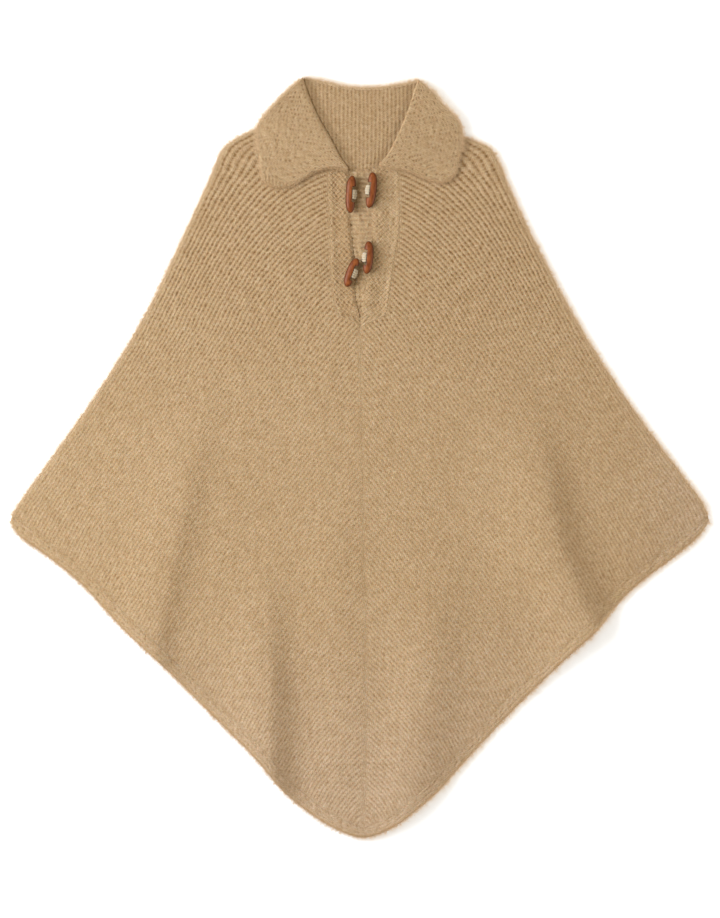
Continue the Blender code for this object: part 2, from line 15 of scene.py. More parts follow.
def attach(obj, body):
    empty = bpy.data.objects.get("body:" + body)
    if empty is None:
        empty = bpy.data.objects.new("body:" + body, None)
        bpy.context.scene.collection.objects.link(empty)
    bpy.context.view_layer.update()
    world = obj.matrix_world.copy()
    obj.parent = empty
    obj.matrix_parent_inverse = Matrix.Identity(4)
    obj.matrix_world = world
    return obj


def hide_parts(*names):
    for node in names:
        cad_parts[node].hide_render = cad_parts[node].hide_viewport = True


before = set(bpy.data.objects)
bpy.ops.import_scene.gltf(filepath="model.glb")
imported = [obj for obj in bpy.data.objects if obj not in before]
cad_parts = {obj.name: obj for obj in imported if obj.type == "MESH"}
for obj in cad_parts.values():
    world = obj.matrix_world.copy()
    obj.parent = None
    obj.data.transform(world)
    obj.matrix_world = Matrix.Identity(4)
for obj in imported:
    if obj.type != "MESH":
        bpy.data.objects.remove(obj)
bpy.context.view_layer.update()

# ---------------------------------------------------------------- sizes that follow the part's

WALL = 0.0036  # thickness of one layer of knitting
GAP = 0.0003
LAYER = WALL + GAP
FRONT_BOTTOM = LAYER
FRONT_TOP = LAYER + WALL
LEAF_UNDERSIDE = 2 * LAYER
TOGGLE_UNDERSIDE = 3 * LAYER
HEM_BAND = 0.0180
BACK_TOP = WALL - 0.0001  # upper face of the back's layer
SEAM_TRIM = 0.0030  # from the centre line, where the offset seam line is cut off
SEAM_STEP = 0.0005  # of the search for the seam's corner at a side fold
TINY = 1e-6  # keeps a division or comparison safe

SIDE_LEFT = (
    (-0.131, 0.4335), (-0.156, 0.4210), (-0.169, 0.4130), (-0.179, 0.4050), (-0.186, 0.3930),
    (-0.199, 0.3610), (-0.235, 0.2830), (-0.286, 0.1790), (-0.351, 0.0750), (-0.425, -0.0290),
    (-0.4450, -0.0570), (-0.4550, -0.0730),
)
SIDE_RIGHT = (
    (0.131, 0.4230), (0.157, 0.4125), (0.170, 0.4060), (0.178, 0.3970), (0.187, 0.3780),
    (0.205, 0.3350), (0.230, 0.2830), (0.285, 0.1790), (0.351, 0.0750), (0.428, -0.0290),
    (0.4470, -0.0550), (0.4555, -0.0720),
)
TIP_POINTS = 3  # at the start of a hem line, which round off the tip
HEM_POINT = (0.004, -0.4990)
HEM_LEFT = (
    (-0.4570, -0.0830), (-0.4530, -0.0960), (-0.4450, -0.1050), (-0.421, -0.1200),
    (-0.364, -0.1650), (-0.312, -0.2220), (-0.260, -0.2700), (-0.208, -0.3220),
    (-0.156, -0.3730), (-0.130, -0.4000), (-0.104, -0.4330), (-0.078, -0.4550),
    (-0.040, -0.4810), HEM_POINT,
)
HEM_RIGHT = (
    (0.4570, -0.0820), (0.4520, -0.0940), (0.4420, -0.1050), (0.416, -0.1270),
    (0.364, -0.1660), (0.338, -0.1910), (0.311, -0.2260), (0.285, -0.2485),
    (0.233, -0.2980), (0.181, -0.3510), (0.129, -0.4070), (0.1025, -0.4375),
    (0.076, -0.4590), (0.042, -0.4845), HEM_POINT,
)
NECK_BOTTOM = (0.006, 0.3710)
NECKLINE = (
    (-0.131, 0.4335), (-0.112, 0.4090), (-0.078, 0.3890), (-0.041, 0.3770), NECK_BOTTOM,
    (0.050, 0.3770), (0.083, 0.3890), (0.114, 0.4060), (0.131, 0.4230),
)
COLLAR_TOP = (
    (-0.137, 0.4310), (-0.127, 0.4470), (-0.104, 0.4730), (-0.088, 0.4900), (-0.081, 0.4950),
    (-0.073, 0.4965), (-0.049, 0.4930), (-0.018, 0.4855), (0.006, 0.4845), (0.029, 0.4855),
    (0.060, 0.4905), (0.075, 0.4945), (0.083, 0.4915), (0.0975, 0.4785), (0.112, 0.4615),
    (0.128, 0.4450), (0.136, 0.4330),
)
LEAF_FOLD_LEFT = (
    (-0.0740, 0.4935), (-0.0700, 0.4810), (-0.0640, 0.4650), (-0.0520, 0.4390),
    (-0.0390, 0.4170), (-0.0270, 0.3940), (-0.0150, 0.3765),
)
LEAF_EDGE_LEFT = (
    (-0.0800, 0.4945), (-0.1040, 0.4730), (-0.1270, 0.4470), (-0.1360, 0.4290),
    (-0.1320, 0.3960), (-0.1290, 0.3690), (-0.1240, 0.3580), (-0.1120, 0.3520),
    (-0.0970, 0.3510), (-0.0830, 0.3560), (-0.0650, 0.3670), (-0.0440, 0.3755),
    (-0.0250, 0.3740), (-0.0160, 0.3725),
)
LEAF_FOLD_RIGHT = (
    (0.0760, 0.4920), (0.0700, 0.4770), (0.0650, 0.4590), (0.0560, 0.4360),
    (0.0460, 0.4130), (0.0350, 0.3930), (0.0250, 0.3815),
)
LEAF_EDGE_RIGHT = (
    (0.0805, 0.4925), (0.0975, 0.4785), (0.1120, 0.4615), (0.1280, 0.4450),
    (0.1360, 0.4280), (0.1340, 0.4040), (0.1290, 0.3870), (0.1260, 0.3720),
    (0.1180, 0.3610), (0.1040, 0.3570), (0.0830, 0.3630), (0.0620, 0.3720),
    (0.0440, 0.3745), (0.0260, 0.3770),
)
# Placket: columns y, outer seam and inner edge of the left band, inner edge and outer seam of the
# right one.
LEFT_SEAM, LEFT_EDGE, RIGHT_EDGE, RIGHT_SEAM = range(1, 5)
PLACKET_ROWS = (
    (0.3740, -0.0400, -0.0145, 0.0156, 0.0490),
    (0.3500, -0.0395, -0.0142, 0.0158, 0.0500),
    (0.3160, -0.0385, -0.0136, 0.0164, 0.0510),
    (0.2820, -0.0375, -0.0105, 0.0170, 0.0480),
    (0.2570, -0.0365, -0.0078, 0.0140, 0.0430),
    (0.2310, -0.0350, -0.0074, 0.0092, 0.0395),
    (0.2060, -0.0320, -0.0060, 0.0045, 0.0365),
    (0.1860, -0.0280, -0.0012, 0.0012, 0.0335),
)
PLACKET_FOOT = 0.1720
BAND_FOOT = (0.0006, 0.1700)
BAND_TOP = 0.3760
BAND_TOP_SLOPE = 0.0080  # length over which the bands go down below the leaves
BAND_FLAT = 0.0055
BAND_CLIMB = 0.0240  # width over which a band rises onto the underlap
BAND_SETTLE = 0.0200  # length over which the bands rise from their foot
BAND_SETTLE_START = 0.0220  # how far below the underlap's foot that begins
UNDERLAP_TOP = 0.3750
UNDERLAP_FOOT = 0.1980
UNDERLAP_TUCK = 0.0045
FALL_SETBACK = 0.0160  # from the neckline up to the fall's free edge
FALL_HALF_WIDTH = 0.1220

# Ripples: columns top x, y, middle x, y, end x, y, height, width left and right of the crest.
RIPPLES = (
    (-0.195, 0.115, -0.235, -0.081, -0.270, -0.240, 0.0090, 0.060, 0.025),
    (-0.130, -0.110, -0.119, -0.280, -0.118, -0.425, 0.0146, 0.050, 0.024),
    (0.086, -0.060, 0.088, -0.295, 0.066, -0.450, 0.0128, 0.052, 0.042),
    (0.206, 0.120, 0.257, -0.121, 0.305, -0.230, 0.0200, 0.060, 0.028),
    (-0.034, 0.100, -0.030, -0.150, -0.020, -0.330, 0.0040, 0.040, 0.036),
)
RIPPLE_START = 0.62  # part of its length over which a ripple rises
RIPPLE_SHARE = 0.60  # part of its height that it has at its top, before it grows down to the hem

# Toggles: columns name, x, y of the middle, length, lean in degrees, side of the notch, level that
# the thread stands on.
TOGGLES = (
    ("upper_left", -0.0112, 0.3420, 0.0485, -3.0, 1, LEAF_UNDERSIDE),
    ("upper_right", 0.0140, 0.3475, 0.0465, -6.5, -1, LEAF_UNDERSIDE),
    ("lower_left", -0.0105, 0.2405, 0.0395, -21.0, 1, TOGGLE_UNDERSIDE),
    ("lower_right", 0.0098, 0.2600, 0.0425, -4.5, -1, LEAF_UNDERSIDE),
)
TOGGLE_WIDTH = 0.0125
TOGGLE_THICKNESS = 0.0088
NOTCH_LENGTH = 0.0195
NOTCH_FLOOR = 0.0008  # x of the notch's floor, beyond the bar's middle line
TOGGLE_BOW = 0.0012
TOGGLE_SQUARENESS = 3.6
THREAD_WIDTH = 0.0070
THREAD_LENGTH = 0.0124
THREAD_SINK = 0.0016  # how far the strands start inside the floor of the notch
THREAD_ROUNDING = 0.0016  # how much less the outer strands stand out

# ---------------------------------------------------------------- the knitting

# The wales stand square to the hem and end on the mitre, the placket and the neckline. Columns: y,
# angle above the horizontal on that inner line in degrees.
WALE_ANGLE = (
    (-0.4186, 42.0), (-0.3536, 45.0), (-0.2886, 46.0), (-0.2236, 48.0), (-0.1586, 49.0),
    (-0.0936, 48.0), (-0.0286, 50.0), (0.0364, 50.0), (0.1014, 50.0), (0.1664, 48.0),
    (0.2314, 40.0), (0.2964, 32.0), (0.3614, 22.0), (0.3874, 16.0), (0.4264, 12.0),
)
# Columns: y, width of a wale there.
WALE_WIDTH = (
    (-0.4186, 0.00520), (-0.2236, 0.00500), (0.0364, 0.00494), (0.1664, 0.00507),
    (0.2314, 0.00533), (0.2964, 0.00572), (0.3614, 0.00611), (0.4264, 0.00637),
)
WALES = 132  # in each half
ROW = 0.00585  # length of a stitch
# The line where the two halves meet: columns y, x.
MITRE = (
    (-0.4780, 0.0040), (-0.4300, 0.0055), (-0.3400, 0.0078), (-0.2400, 0.0075),
    (-0.1000, 0.0045), (0.0500, 0.0015), (0.1720, 0.0),
)
RELIEF = 0.0024  # from the floor of a hole to the top of a ridge
# Depth of a furrow between two wales, as a part of the relief: at least, and more by its openness.
FURROW, FURROW_OPEN = 0.04, 0.20
FURROW_SHADE = 0.42  # how shaded the floor of a furrow is, against a hole
BEAD = 0.30  # most that one stitch lies below the next on a ridge, as a part of the relief
BEAD_RATE = 1.3  # of those ups and downs to a stitch
HOLE_WALES, HOLE_ROWS = 0.26, 0.27  # half widths of a hole, in stitches
HOLE_LEAST = 0.40  # depth of the shallowest hole, as a part of the deepest
HOLE_DRIFT = 1.5  # rows by which the holes of one furrow shift against the next ones
HOLE_DRIFT_WALES, HOLE_DRIFT_ROWS = 5.0, 9.0  # over which that changes
HOLE_JITTER, HOLE_JITTER_ROWS = 1.4, 2.6  # rows by which a hole strays, and over which it changes
HOLES_DEEP_FROM, HOLES_DEEP_TO = 0.0, 0.36  # heights between which the holes open up
HOLES_LOW, HOLES_HIGH = 0.40, 1.05  # depth of the holes below and above those heights
SPINE = 0.0029  # half width of the closed stitches along an inner edge
SPINE_SPREAD = 0.003625  # width over which they give way to the open ones
SPINE_HEIGHT, SEAM_HEIGHT = 0.72, 0.75  # of those stitches, as a part of the relief
SPINE_NOISE, SPINE_NOISE_RATE, SPINE_SHADE = 0.45, 1.4, 0.24
SEAM_ROWS = 0.6  # rows of low stitches along the hem's seam
MARGIN_START, MARGIN_WIDTH = 0.0015, 0.0070  # from a side fold, where the holes open up
TUCK = 0.0016  # by which a band or border is tucked below the front at its seam
TUCK_DROP = 0.0006
PROUD = 0.0002  # the ridges stand this far above the part's wall
EDGE_ROLL = 0.0075  # width over which the cloth turns down at a fold
EDGE_LIP = 0.0004  # thickness that is left at the very edge
FRONT_THINNEST, BACK_THINNEST = 0.8, 0.5  # of their walls anywhere, as a part of that lip
FRONT_COLUMNS, FRONT_SAMPLES = 4, 3  # of the mesh, in a wale and in a row
BACK_COLUMNS, BACK_SAMPLES = 2, 2
PLAIN_COLUMNS, PLAIN_SAMPLES = 14, 10  # spacing of the points of the plain face, in mesh steps
# Waves across the cloth: columns radians to a metre of x, to a metre of y, radians at the start.
UNEVEN_WAVES = ((61.0, 23.0, 0.6), (19.0, -47.0, 1.9), (118.0, -31.0, 0.0), (37.0, 97.0, 2.2))
WANDER_WAVES = ((87.0, 231.0, 0.0), (431.0, -173.0, 1.0), (213.0, -71.0, 2.0), (191.0, 397.0, 0.0))
FINER_WAVES = 0.6  # height of the finer ones, against the broader ones
UNEVENNESS = 0.0003
NEEDLE_WANDER = 0.0006  # how far the hand-knitted wales stray from their lines
FOLD_SLANT = 0.88  # a side fold leans, so the way straight to it is shorter than the way across
# The cloth itself stands this far inside the outline, and loose fibres fill that.
HALO, RIGHT_HALO = 0.0030, 0.0038
HALO_FROM, HALO_EASE = 0.3950, 0.0300  # height from which a collar leaf's edge is such an outline

PURL_STRAYS = ((0.9, 4.0, 6.0), (0.6, 1.7, 1.7))  # stray in rows, wales and rows it changes over
PURL_SHIFT_AREA = 3.0  # wales and rows over which the bumps shift sideways
PURL_SHARPNESS = 1.5  # of the grooves between the rows of bumps
PURL_LEAST = 0.25  # depth of the shallowest dash, as a part of the deepest
PURL_SADDLE = 0.35  # depth between two bumps of a row
MOSS_STRAY, MOSS_AREA = 0.7, 2.5  # stray in stitches, and stitches over which it changes
MOSS_LEAST = 0.35  # depth of the shallowest dip, as a part of the deepest

chance = np.random.default_rng(7)
FIELD_SIZE = (257, 263)
STITCH_CHANCE = chance.random(FIELD_SIZE)
# Places in that field where each use starts to read it.
JITTER_PLACE, BEAD_PLACE, PURL_PLACE = 11.0, 31.0, 40.0
MOSS_PLACE, RIB_PLACE, HEM_PLACE = 60.0, 20.0, 7.0


# ---------------------------------------------------------------- plane curves


def spline(points, per_span=8):
    """Dense points on a smooth curve through the given ones."""
    p = np.array(points, float)
    p = np.vstack([2 * p[0] - p[1], p, 2 * p[-1] - p[-2]])
    t = (np.arange(per_span) / per_span)[:, None]
    spans = []
    for a, b, c, d in zip(p[:-3], p[1:-2], p[2:-1], p[3:]):
        square = 2 * a - 5 * b + 4 * c - d
        cube = 3 * b - a - 3 * c + d
        spans.append(0.5 * (2 * b + (c - a) * t + square * t**2 + cube * t**3))
    return np.vstack([*spans, p[-2:-1]])


def lengths_along(curve):
    return np.concatenate([[0.0], np.cumsum(np.linalg.norm(np.diff(curve, axis=0), axis=1))])


def at_length(curve, wanted):
    along = lengths_along(curve)
    return np.column_stack([np.interp(wanted, along, curve[:, k]) for k in (0, 1)])


def resample(curve, count):
    return at_length(curve, np.linspace(0.0, lengths_along(curve)[-1], count))


def offset(curve, distance):
    """The curve moved sideways, to the left of its direction where the distance is positive."""
    tangent = np.gradient(curve, axis=0)
    tangent /= np.linalg.norm(tangent, axis=1)[:, None]
    return curve + distance * np.column_stack([-tangent[:, 1], tangent[:, 0]])


def x_at(curve, y):
    order = np.argsort(curve[:, 1])
    return np.interp(y, curve[order, 1], curve[order, 0])


def y_at(curve, x):
    order = np.argsort(curve[:, 0])
    return np.interp(x, curve[order, 0], curve[order, 1])


def from_table(table, at, column=1):
    rows = np.array(table)
    rows = rows[np.argsort(rows[:, 0])]
    return np.interp(at, rows[:, 0], rows[:, column])


def ease(value):
    value = np.clip(value, 0.0, 1.0)
    return value * value * (3.0 - 2.0 * value)


def quarter_round(part):
    """Height of a quarter circle, 0 at its foot and 1 where it levels out."""
    return np.sqrt(1.0 - (1.0 - np.clip(part, 0.0, 1.0)) ** 2)


def hem_seam(edge_points, side_curve, distance):
    """The line where the hem band is joined on, from the side fold to the centre line."""
    seam = offset(spline(edge_points[TIP_POINTS:]), distance)
    seam = seam[(seam[:, 0] - HEM_POINT[0]) * np.sign(distance) < -SEAM_TRIM]
    seam = np.vstack([seam, [HEM_POINT[0], HEM_POINT[1] + HEM_BAND]])
    back = (seam[0] - seam[1]) / np.linalg.norm(seam[0] - seam[1])
    corner = seam[0]
    while (x_at(side_curve, corner[1]) - corner[0]) * np.sign(back[0]) > 0.0:
        corner = corner + SEAM_STEP * back
    return np.vstack([corner, seam])


def leaf_edge(points, halo):
    """Free edge of a leaf, inside the fibres' reach where it is part of the outline."""
    curve = spline(points)
    outer = ease((curve[:, 1] - HALO_FROM) / HALO_EASE)[:, None]
    return curve + outer * (offset(curve, halo) - curve)


NECK_CURVE = spline(NECKLINE)
TOP_CURVE = offset(spline(COLLAR_TOP), -HALO)
FOLDS = {-1: offset(spline(SIDE_LEFT), HALO), 1: offset(spline(SIDE_RIGHT), -RIGHT_HALO)}
EDGES = {-1: offset(spline(HEM_LEFT), HALO), 1: offset(spline(HEM_RIGHT), -RIGHT_HALO)}
SEAMS = {
    -1: hem_seam(HEM_LEFT, FOLDS[-1], HEM_BAND),
    1: hem_seam(HEM_RIGHT, FOLDS[1], -HEM_BAND),
}
LEFT_EDGE_LINE = leaf_edge(LEAF_EDGE_LEFT, HALO)
RIGHT_EDGE_LINE = leaf_edge(LEAF_EDGE_RIGHT, -RIGHT_HALO)


def placket_x(y, column):
    return from_table(PLACKET_ROWS, y, column)


# ---------------------------------------------------------------- heights


def ripple_height(x, y):
    """How far the ripples lift the front above flat."""
    total = np.zeros(np.broadcast(x, y).shape)
    for x0, y0, x1, y1, x2, y2, height, left, right in RIPPLES:
        crest_x = np.interp(y, (y2, y1, y0), (x2, x1, x0))
        along = (y0 - y) / (y0 - y2)
        grown = RIPPLE_SHARE + (1.0 - RIPPLE_SHARE) * np.clip(along, 0.0, 1.0)
        across = x - crest_x
        width = np.where(across > 0.0, right, left)
        total += height * ease(along / RIPPLE_START) * grown * np.exp(-((across / width) ** 2))
    return total


def waves(x, y, table):
    """The waves of a table at each point, from -1 to 1."""
    return (np.sin(to_x * x + to_y * y + start) for to_x, to_y, start in table)


def unevenness(x, y):
    """Soft waves of the hand-knitted cloth, of about half a millimetre."""
    one, two, three, four = waves(x, y, UNEVEN_WAVES)
    return UNEVENNESS * (one * two + FINER_WAVES * three * four)


def wander(x, y):
    """Strays of the wales, in x and in y."""
    one, two, three, four = waves(x, y, WANDER_WAVES)
    size = NEEDLE_WANDER / (1.0 + FINER_WAVES)
    return size * (one + FINER_WAVES * two), size * (three + FINER_WAVES * four)


def stitch_chance(wale, row):
    """One random number for each stitch."""
    k, j = np.floor(wale).astype(int), np.floor(row).astype(int)
    return STITCH_CHANCE[k % FIELD_SIZE[0], j % FIELD_SIZE[1]]


def soft_chance(u, v, place=0.0):
    """Random numbers that change smoothly from one whole number to the next."""
    u = u + place
    part_u, part_v = ease(u - np.floor(u)), ease(v - np.floor(v))
    low = stitch_chance(u, v) * (1.0 - part_u) + stitch_chance(u + 1.0, v) * part_u
    high = stitch_chance(u, v + 1.0) * (1.0 - part_u) + stitch_chance(u + 1.0, v + 1.0) * part_u
    return low * (1.0 - part_v) + high * part_v


def stocking(wale, row, openness):
    """Stocking stitch: height from 0 in a hole to 1 on a ridge, and how shaded each point is."""
    furrow = np.round(wale)
    across = np.abs(wale - furrow)
    shifted = row + HOLE_DRIFT * soft_chance(furrow / HOLE_DRIFT_WALES, row / HOLE_DRIFT_ROWS)
    shifted += HOLE_JITTER * soft_chance(furrow, row / HOLE_JITTER_ROWS, JITTER_PLACE)
    along = np.abs(shifted - np.round(shifted))
    depth = stitch_chance(furrow + 0.5, np.round(shifted) + 0.5)
    depth = HOLE_LEAST + (1.0 - HOLE_LEAST) * depth
    hole = np.exp(-((across / HOLE_WALES) ** 2) - (along / HOLE_ROWS) ** 2) * depth * openness
    ridge = 1.0 - (1.0 - 2.0 * across) ** 2
    bead = BEAD * soft_chance(BEAD_RATE * wale, BEAD_RATE * shifted, BEAD_PLACE)
    furrows = FURROW + FURROW_OPEN * openness
    height = 1.0 - furrows * (1.0 - ridge) - (1.0 - furrows) * hole - bead * ridge
    shade = hole + FURROW_SHADE * (1.0 - ridge) * (0.5 + 0.5 * openness)
    return height, np.clip(shade, 0.0, 1.0)


def openness(y):
    """How far the holes are open: least in the lower body, most at the shoulders."""
    part = ease((y - HOLES_DEEP_FROM) / (HOLES_DEEP_TO - HOLES_DEEP_FROM))
    return HOLES_LOW + (HOLES_HIGH - HOLES_LOW) * part


def purl(wale, row, disorder=1.0, dashes=0.8):
    """Purl bumps from 0 to 1 in wavering rows, with dark dashes of uneven depth between them."""
    stray = sum(size * soft_chance(wale / far, row / high) for size, far, high in PURL_STRAYS)
    row = row + disorder * stray
    shift = soft_chance(wale / PURL_SHIFT_AREA, row / PURL_SHIFT_AREA, PURL_PLACE)
    wale = wale + disorder * shift + 0.5 * (np.floor(row) % 2)
    groove = (0.5 - 0.5 * np.cos(2 * np.pi * row)) ** PURL_SHARPNESS
    dash = 0.5 + 0.5 * np.cos(2 * np.pi * wale)
    depth = PURL_LEAST + (1.0 - PURL_LEAST) * stitch_chance(wale + 0.5, row)
    saddle = PURL_SADDLE * (1.0 - groove) * (1.0 - dash)
    return 1.0 - groove * depth * (1.0 - dashes + dashes * dash) - saddle


def moss(u, v):
    """Moss stitch from 0 to 1: small bumps that alternate both ways, none quite like the next."""
    far, high = u / MOSS_AREA, v / MOSS_AREA
    u = u + MOSS_STRAY * soft_chance(far, high)
    v = v + MOSS_STRAY * soft_chance(far, high, MOSS_PLACE)
    check = 0.5 - 0.5 * np.cos(2 * np.pi * u) * np.cos(2 * np.pi * v)
    depth = MOSS_LEAST + (1.0 - MOSS_LEAST) * stitch_chance(2.0 * u + 0.5, 2.0 * v + 0.5)
    return 1.0 - check * depth


# ---------------------------------------------------------------- making pieces

RIM_ANGLE = 1.2  # radians, edges that turn by more stay crisp
BEHIND_PAINTED_SHADE = 0.5  # shade of the plain points behind a knitted face


def add_piece(name, points, faces, paint, nodes=(), values=None):
    """A piece of the garment that rides on its body and stands for CAD nodes."""
    mesh = bpy.data.meshes.new(name)
    mesh.from_pydata(np.asarray(points).tolist(), [], faces)
    for label, numbers in (values or {}).items():
        layer = mesh.attributes.new(label, "FLOAT", "POINT")
        layer.data.foreach_set("value", np.asarray(numbers, np.float32))
    tidy = bmesh.new()
    tidy.from_mesh(mesh)
    bmesh.ops.recalc_face_normals(tidy, faces=tidy.faces)
    tidy.to_mesh(mesh)
    tidy.free()
    mesh.shade_smooth()
    mesh.set_sharp_from_angle(angle=RIM_ANGLE)
    mesh.materials.append(paint)
    piece = bpy.data.objects.new(name, mesh)
    bpy.context.scene.collection.objects.link(piece)
    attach(piece, "root")
    if nodes:
        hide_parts(*nodes)
    return piece


def knit_values(wale, row, painted_shade):
    """What the wool reads at each point: its place in the knitting, its shade and its stitch."""
    wale, row = np.ravel(wale), np.ravel(row)
    return {
        "wale": wale,
        "row": row,
        # painted shade of the wool at each point, in its holes and dips
        "painted_shade": np.ravel(painted_shade),
        "tone": stitch_chance(wale + 0.5, row),
    }


def loop_faces(count, size):
    """Faces of a skin over closed loops of equal size, with both ends capped."""
    faces = []
    for i in range(count - 1):
        for k in range(size):
            after = (k + 1) % size
            near, far = i * size, (i + 1) * size
            faces.append((near + k, near + after, far + after, far + k))
    faces.append(tuple(range(size)))
    faces.append(tuple(range((count - 1) * size, count * size)))
    return faces


def section(face, wale, row, painted_shade, behind):
    """One closed cross-section: the points of a knitted face and the plain ones behind it."""
    spare = np.zeros(len(behind))
    return (
        np.vstack([face, behind]),
        np.concatenate([wale, spare]),
        np.concatenate([row, spare]),
        np.concatenate([painted_shade, spare + BEHIND_PAINTED_SHADE]),
    )


def loft(name, sections, paint, slot, node, **cut):
    """A closed sheet of cloth through cross-sections of equal size."""
    points, wale, row, painted_shade = (np.concatenate(part) for part in zip(*sections))
    faces = loop_faces(len(sections), len(sections[0][0]))
    values = knit_values(wale, row, painted_shade)
    add_piece(name, points, faces, paint, (node,), values)


# ---------------------------------------------------------------- body

COUNT_STEPS = 900  # up an inner edge, to count the wales that end on it
LINE_STEPS = 181  # up one wale's line
LEAST_BEND, MOST_BEND = 0.03, 0.6  # how unevenly the wales may share out a height
CLOSE = 1e-9  # points nearer than this are one to the triangulation


def inner_x(side, y, open_front):
    """Inner edge of a half: the mitre, the placket's seam and then the neckline."""
    mitre = from_table(MITRE, y)
    if open_front:
        seam = placket_x(y, LEFT_SEAM if side < 0 else RIGHT_SEAM)
        low = PLACKET_ROWS[-1][0]
        inner = mitre + (seam - mitre) * np.clip((y - PLACKET_FOOT) / (low - PLACKET_FOOT), 0.0, 1.0)
    else:
        inner = mitre
    half = NECK_CURVE[side * (NECK_CURVE[:, 0] - NECK_BOTTOM[0]) > -TINY]
    return np.where(y > y_at(NECK_CURVE, inner), x_at(half, y), inner)


def wale_count(side, open_front):
    """Heights up the inner edge, the wales that end above each, and the widths' own total to WALES."""
    y = np.linspace(HEM_POINT[1] + HEM_BAND, FOLDS[side][0, 1], COUNT_STEPS)
    line = np.column_stack([inner_x(side, y, open_front), y])
    step, middle = np.diff(line, axis=0), (y[1:] + y[:-1]) / 2
    angle = np.radians(from_table(WALE_ANGLE, middle))
    crossing = np.abs(step[:, 0] * np.sin(angle) + side * step[:, 1] * np.cos(angle))
    rate = crossing / from_table(WALE_WIDTH, middle)
    above = np.concatenate([np.cumsum(rate[::-1])[::-1], [0.0]])
    return y, above * WALES / above[0], above[0] / WALES


def wale_lines(side, columns, samples, open_front):
    """Plane points of every mesh column from the hem seam up, with its wale and row numbers."""
    heights, above, scale = wale_count(side, open_front)
    seam, fold = SEAMS[side], FOLDS[side]
    part = lengths_along(seam) / lengths_along(seam)[-1]
    order = np.argsort(seam[:, 1])
    lines = []
    for wale in np.arange(WALES * columns + 1) / columns:
        foot = at_length(seam, wale / WALES * lengths_along(seam)[-1])[0]
        end = np.interp(-wale, -above, heights)
        y = foot[1] + (max(end, foot[1]) - foot[1]) * np.linspace(0.0, 1.0, LINE_STEPS)
        below = y < seam[0, 1]
        outer = np.where(below, x_at(seam, y), x_at(fold, y))
        first = np.where(below, WALES * np.interp(y, seam[order, 1], part[order]), 0.0)
        inner = inner_x(side, y, open_front)
        last = np.interp(y, heights, above)
        present = np.maximum(last - first, TINY)
        share = np.clip((wale - first) / present, 0.0, 1.0)
        rate = np.sin(np.radians(from_table(WALE_ANGLE, y))) / from_table(WALE_WIDTH, y) / scale
        bend = np.clip(1.0 - rate * np.abs(inner - outer) / present, LEAST_BEND, MOST_BEND)
        root = np.sqrt((1.0 + bend) ** 2 - 4.0 * bend * share)
        line = np.column_stack([outer + (inner - outer) * (1.0 + bend - root) / (2.0 * bend), y])
        line[0] = foot
        length = lengths_along(line)[-1]
        steps = max(int(round(length / (ROW / samples))), 0)
        wanted = np.minimum(np.arange(steps + 1) * ROW / samples, length)
        wanted[-1] = length
        lines.append((wale, at_length(line, wanted), wanted / ROW))
    return lines


def close_edges(side, plane, wale, row, open_front, height, shade):
    """Lower stitches without holes along the inner edge and the hem's seam."""
    middle = np.abs(inner_x(side, plane[:, 1], open_front) - plane[:, 0])
    closed = np.exp(-((middle / SPINE_SPREAD) ** 2))
    beside_seam = (plane[:, 1] > PLACKET_FOOT) & open_front
    level = np.where(beside_seam, SEAM_HEIGHT, SPINE_HEIGHT)
    noise = soft_chance(SPINE_NOISE_RATE * wale, SPINE_NOISE_RATE * row)
    noise = SPINE_NOISE * (noise - 0.5)
    level = level + noise * ease(middle / SPINE)
    height, shade = height + (level - height) * closed, shade + (SPINE_SHADE - shade) * closed
    seam = np.exp(-((row / SEAM_ROWS) ** 2))
    return height + (SEAM_HEIGHT - height) * seam, shade + (SPINE_SHADE - shade) * seam


def column_faces(lines, starts):
    """Faces between neighbouring mesh columns, which may be of unequal length."""
    faces = []
    for k in range(len(lines) - 1):
        near, far = len(lines[k][1]), len(lines[k + 1][1])
        for j in range(max(near, far) - 1):
            a, b = starts[k] + min(j, near - 1), starts[k] + min(j + 1, near - 1)
            c, d = starts[k + 1] + min(j, far - 1), starts[k + 1] + min(j + 1, far - 1)
            corners = [a, c, d, b]
            if c == d:
                corners = [a, c, b]
            if a == b:
                corners = [a, c, d]
            faces.append(corners)
    return faces


def plain_net(lines, starts, plane):
    """The ring round a half, the points of its plain face and the triangles between those."""
    ring = [starts[k] for k in range(len(lines))]
    ring += [starts[k + 1] - 1 for k in range(len(lines) - 1, -1, -1)]
    ring += list(range(starts[1] - 2, starts[0], -1))
    ring = [v for k, v in enumerate(ring) if v != ring[k - 1]]
    inside = []
    for k in range(PLAIN_COLUMNS, len(lines) - 1, PLAIN_COLUMNS):
        inside += list(range(starts[k] + PLAIN_SAMPLES, starts[k + 1] - PLAIN_SAMPLES, PLAIN_SAMPLES))
    chosen = ring + inside
    edges = [(k, (k + 1) % len(ring)) for k in range(len(ring))]
    flat = [Vector(plane[v]) for v in chosen]
    _, _, triangles, origins, _, _ = delaunay_2d_cdt(flat, edges, [], 1, CLOSE)
    source = [origin[0] for origin in origins]
    return ring, chosen, [[source[v] for v in triangle] for triangle in triangles]


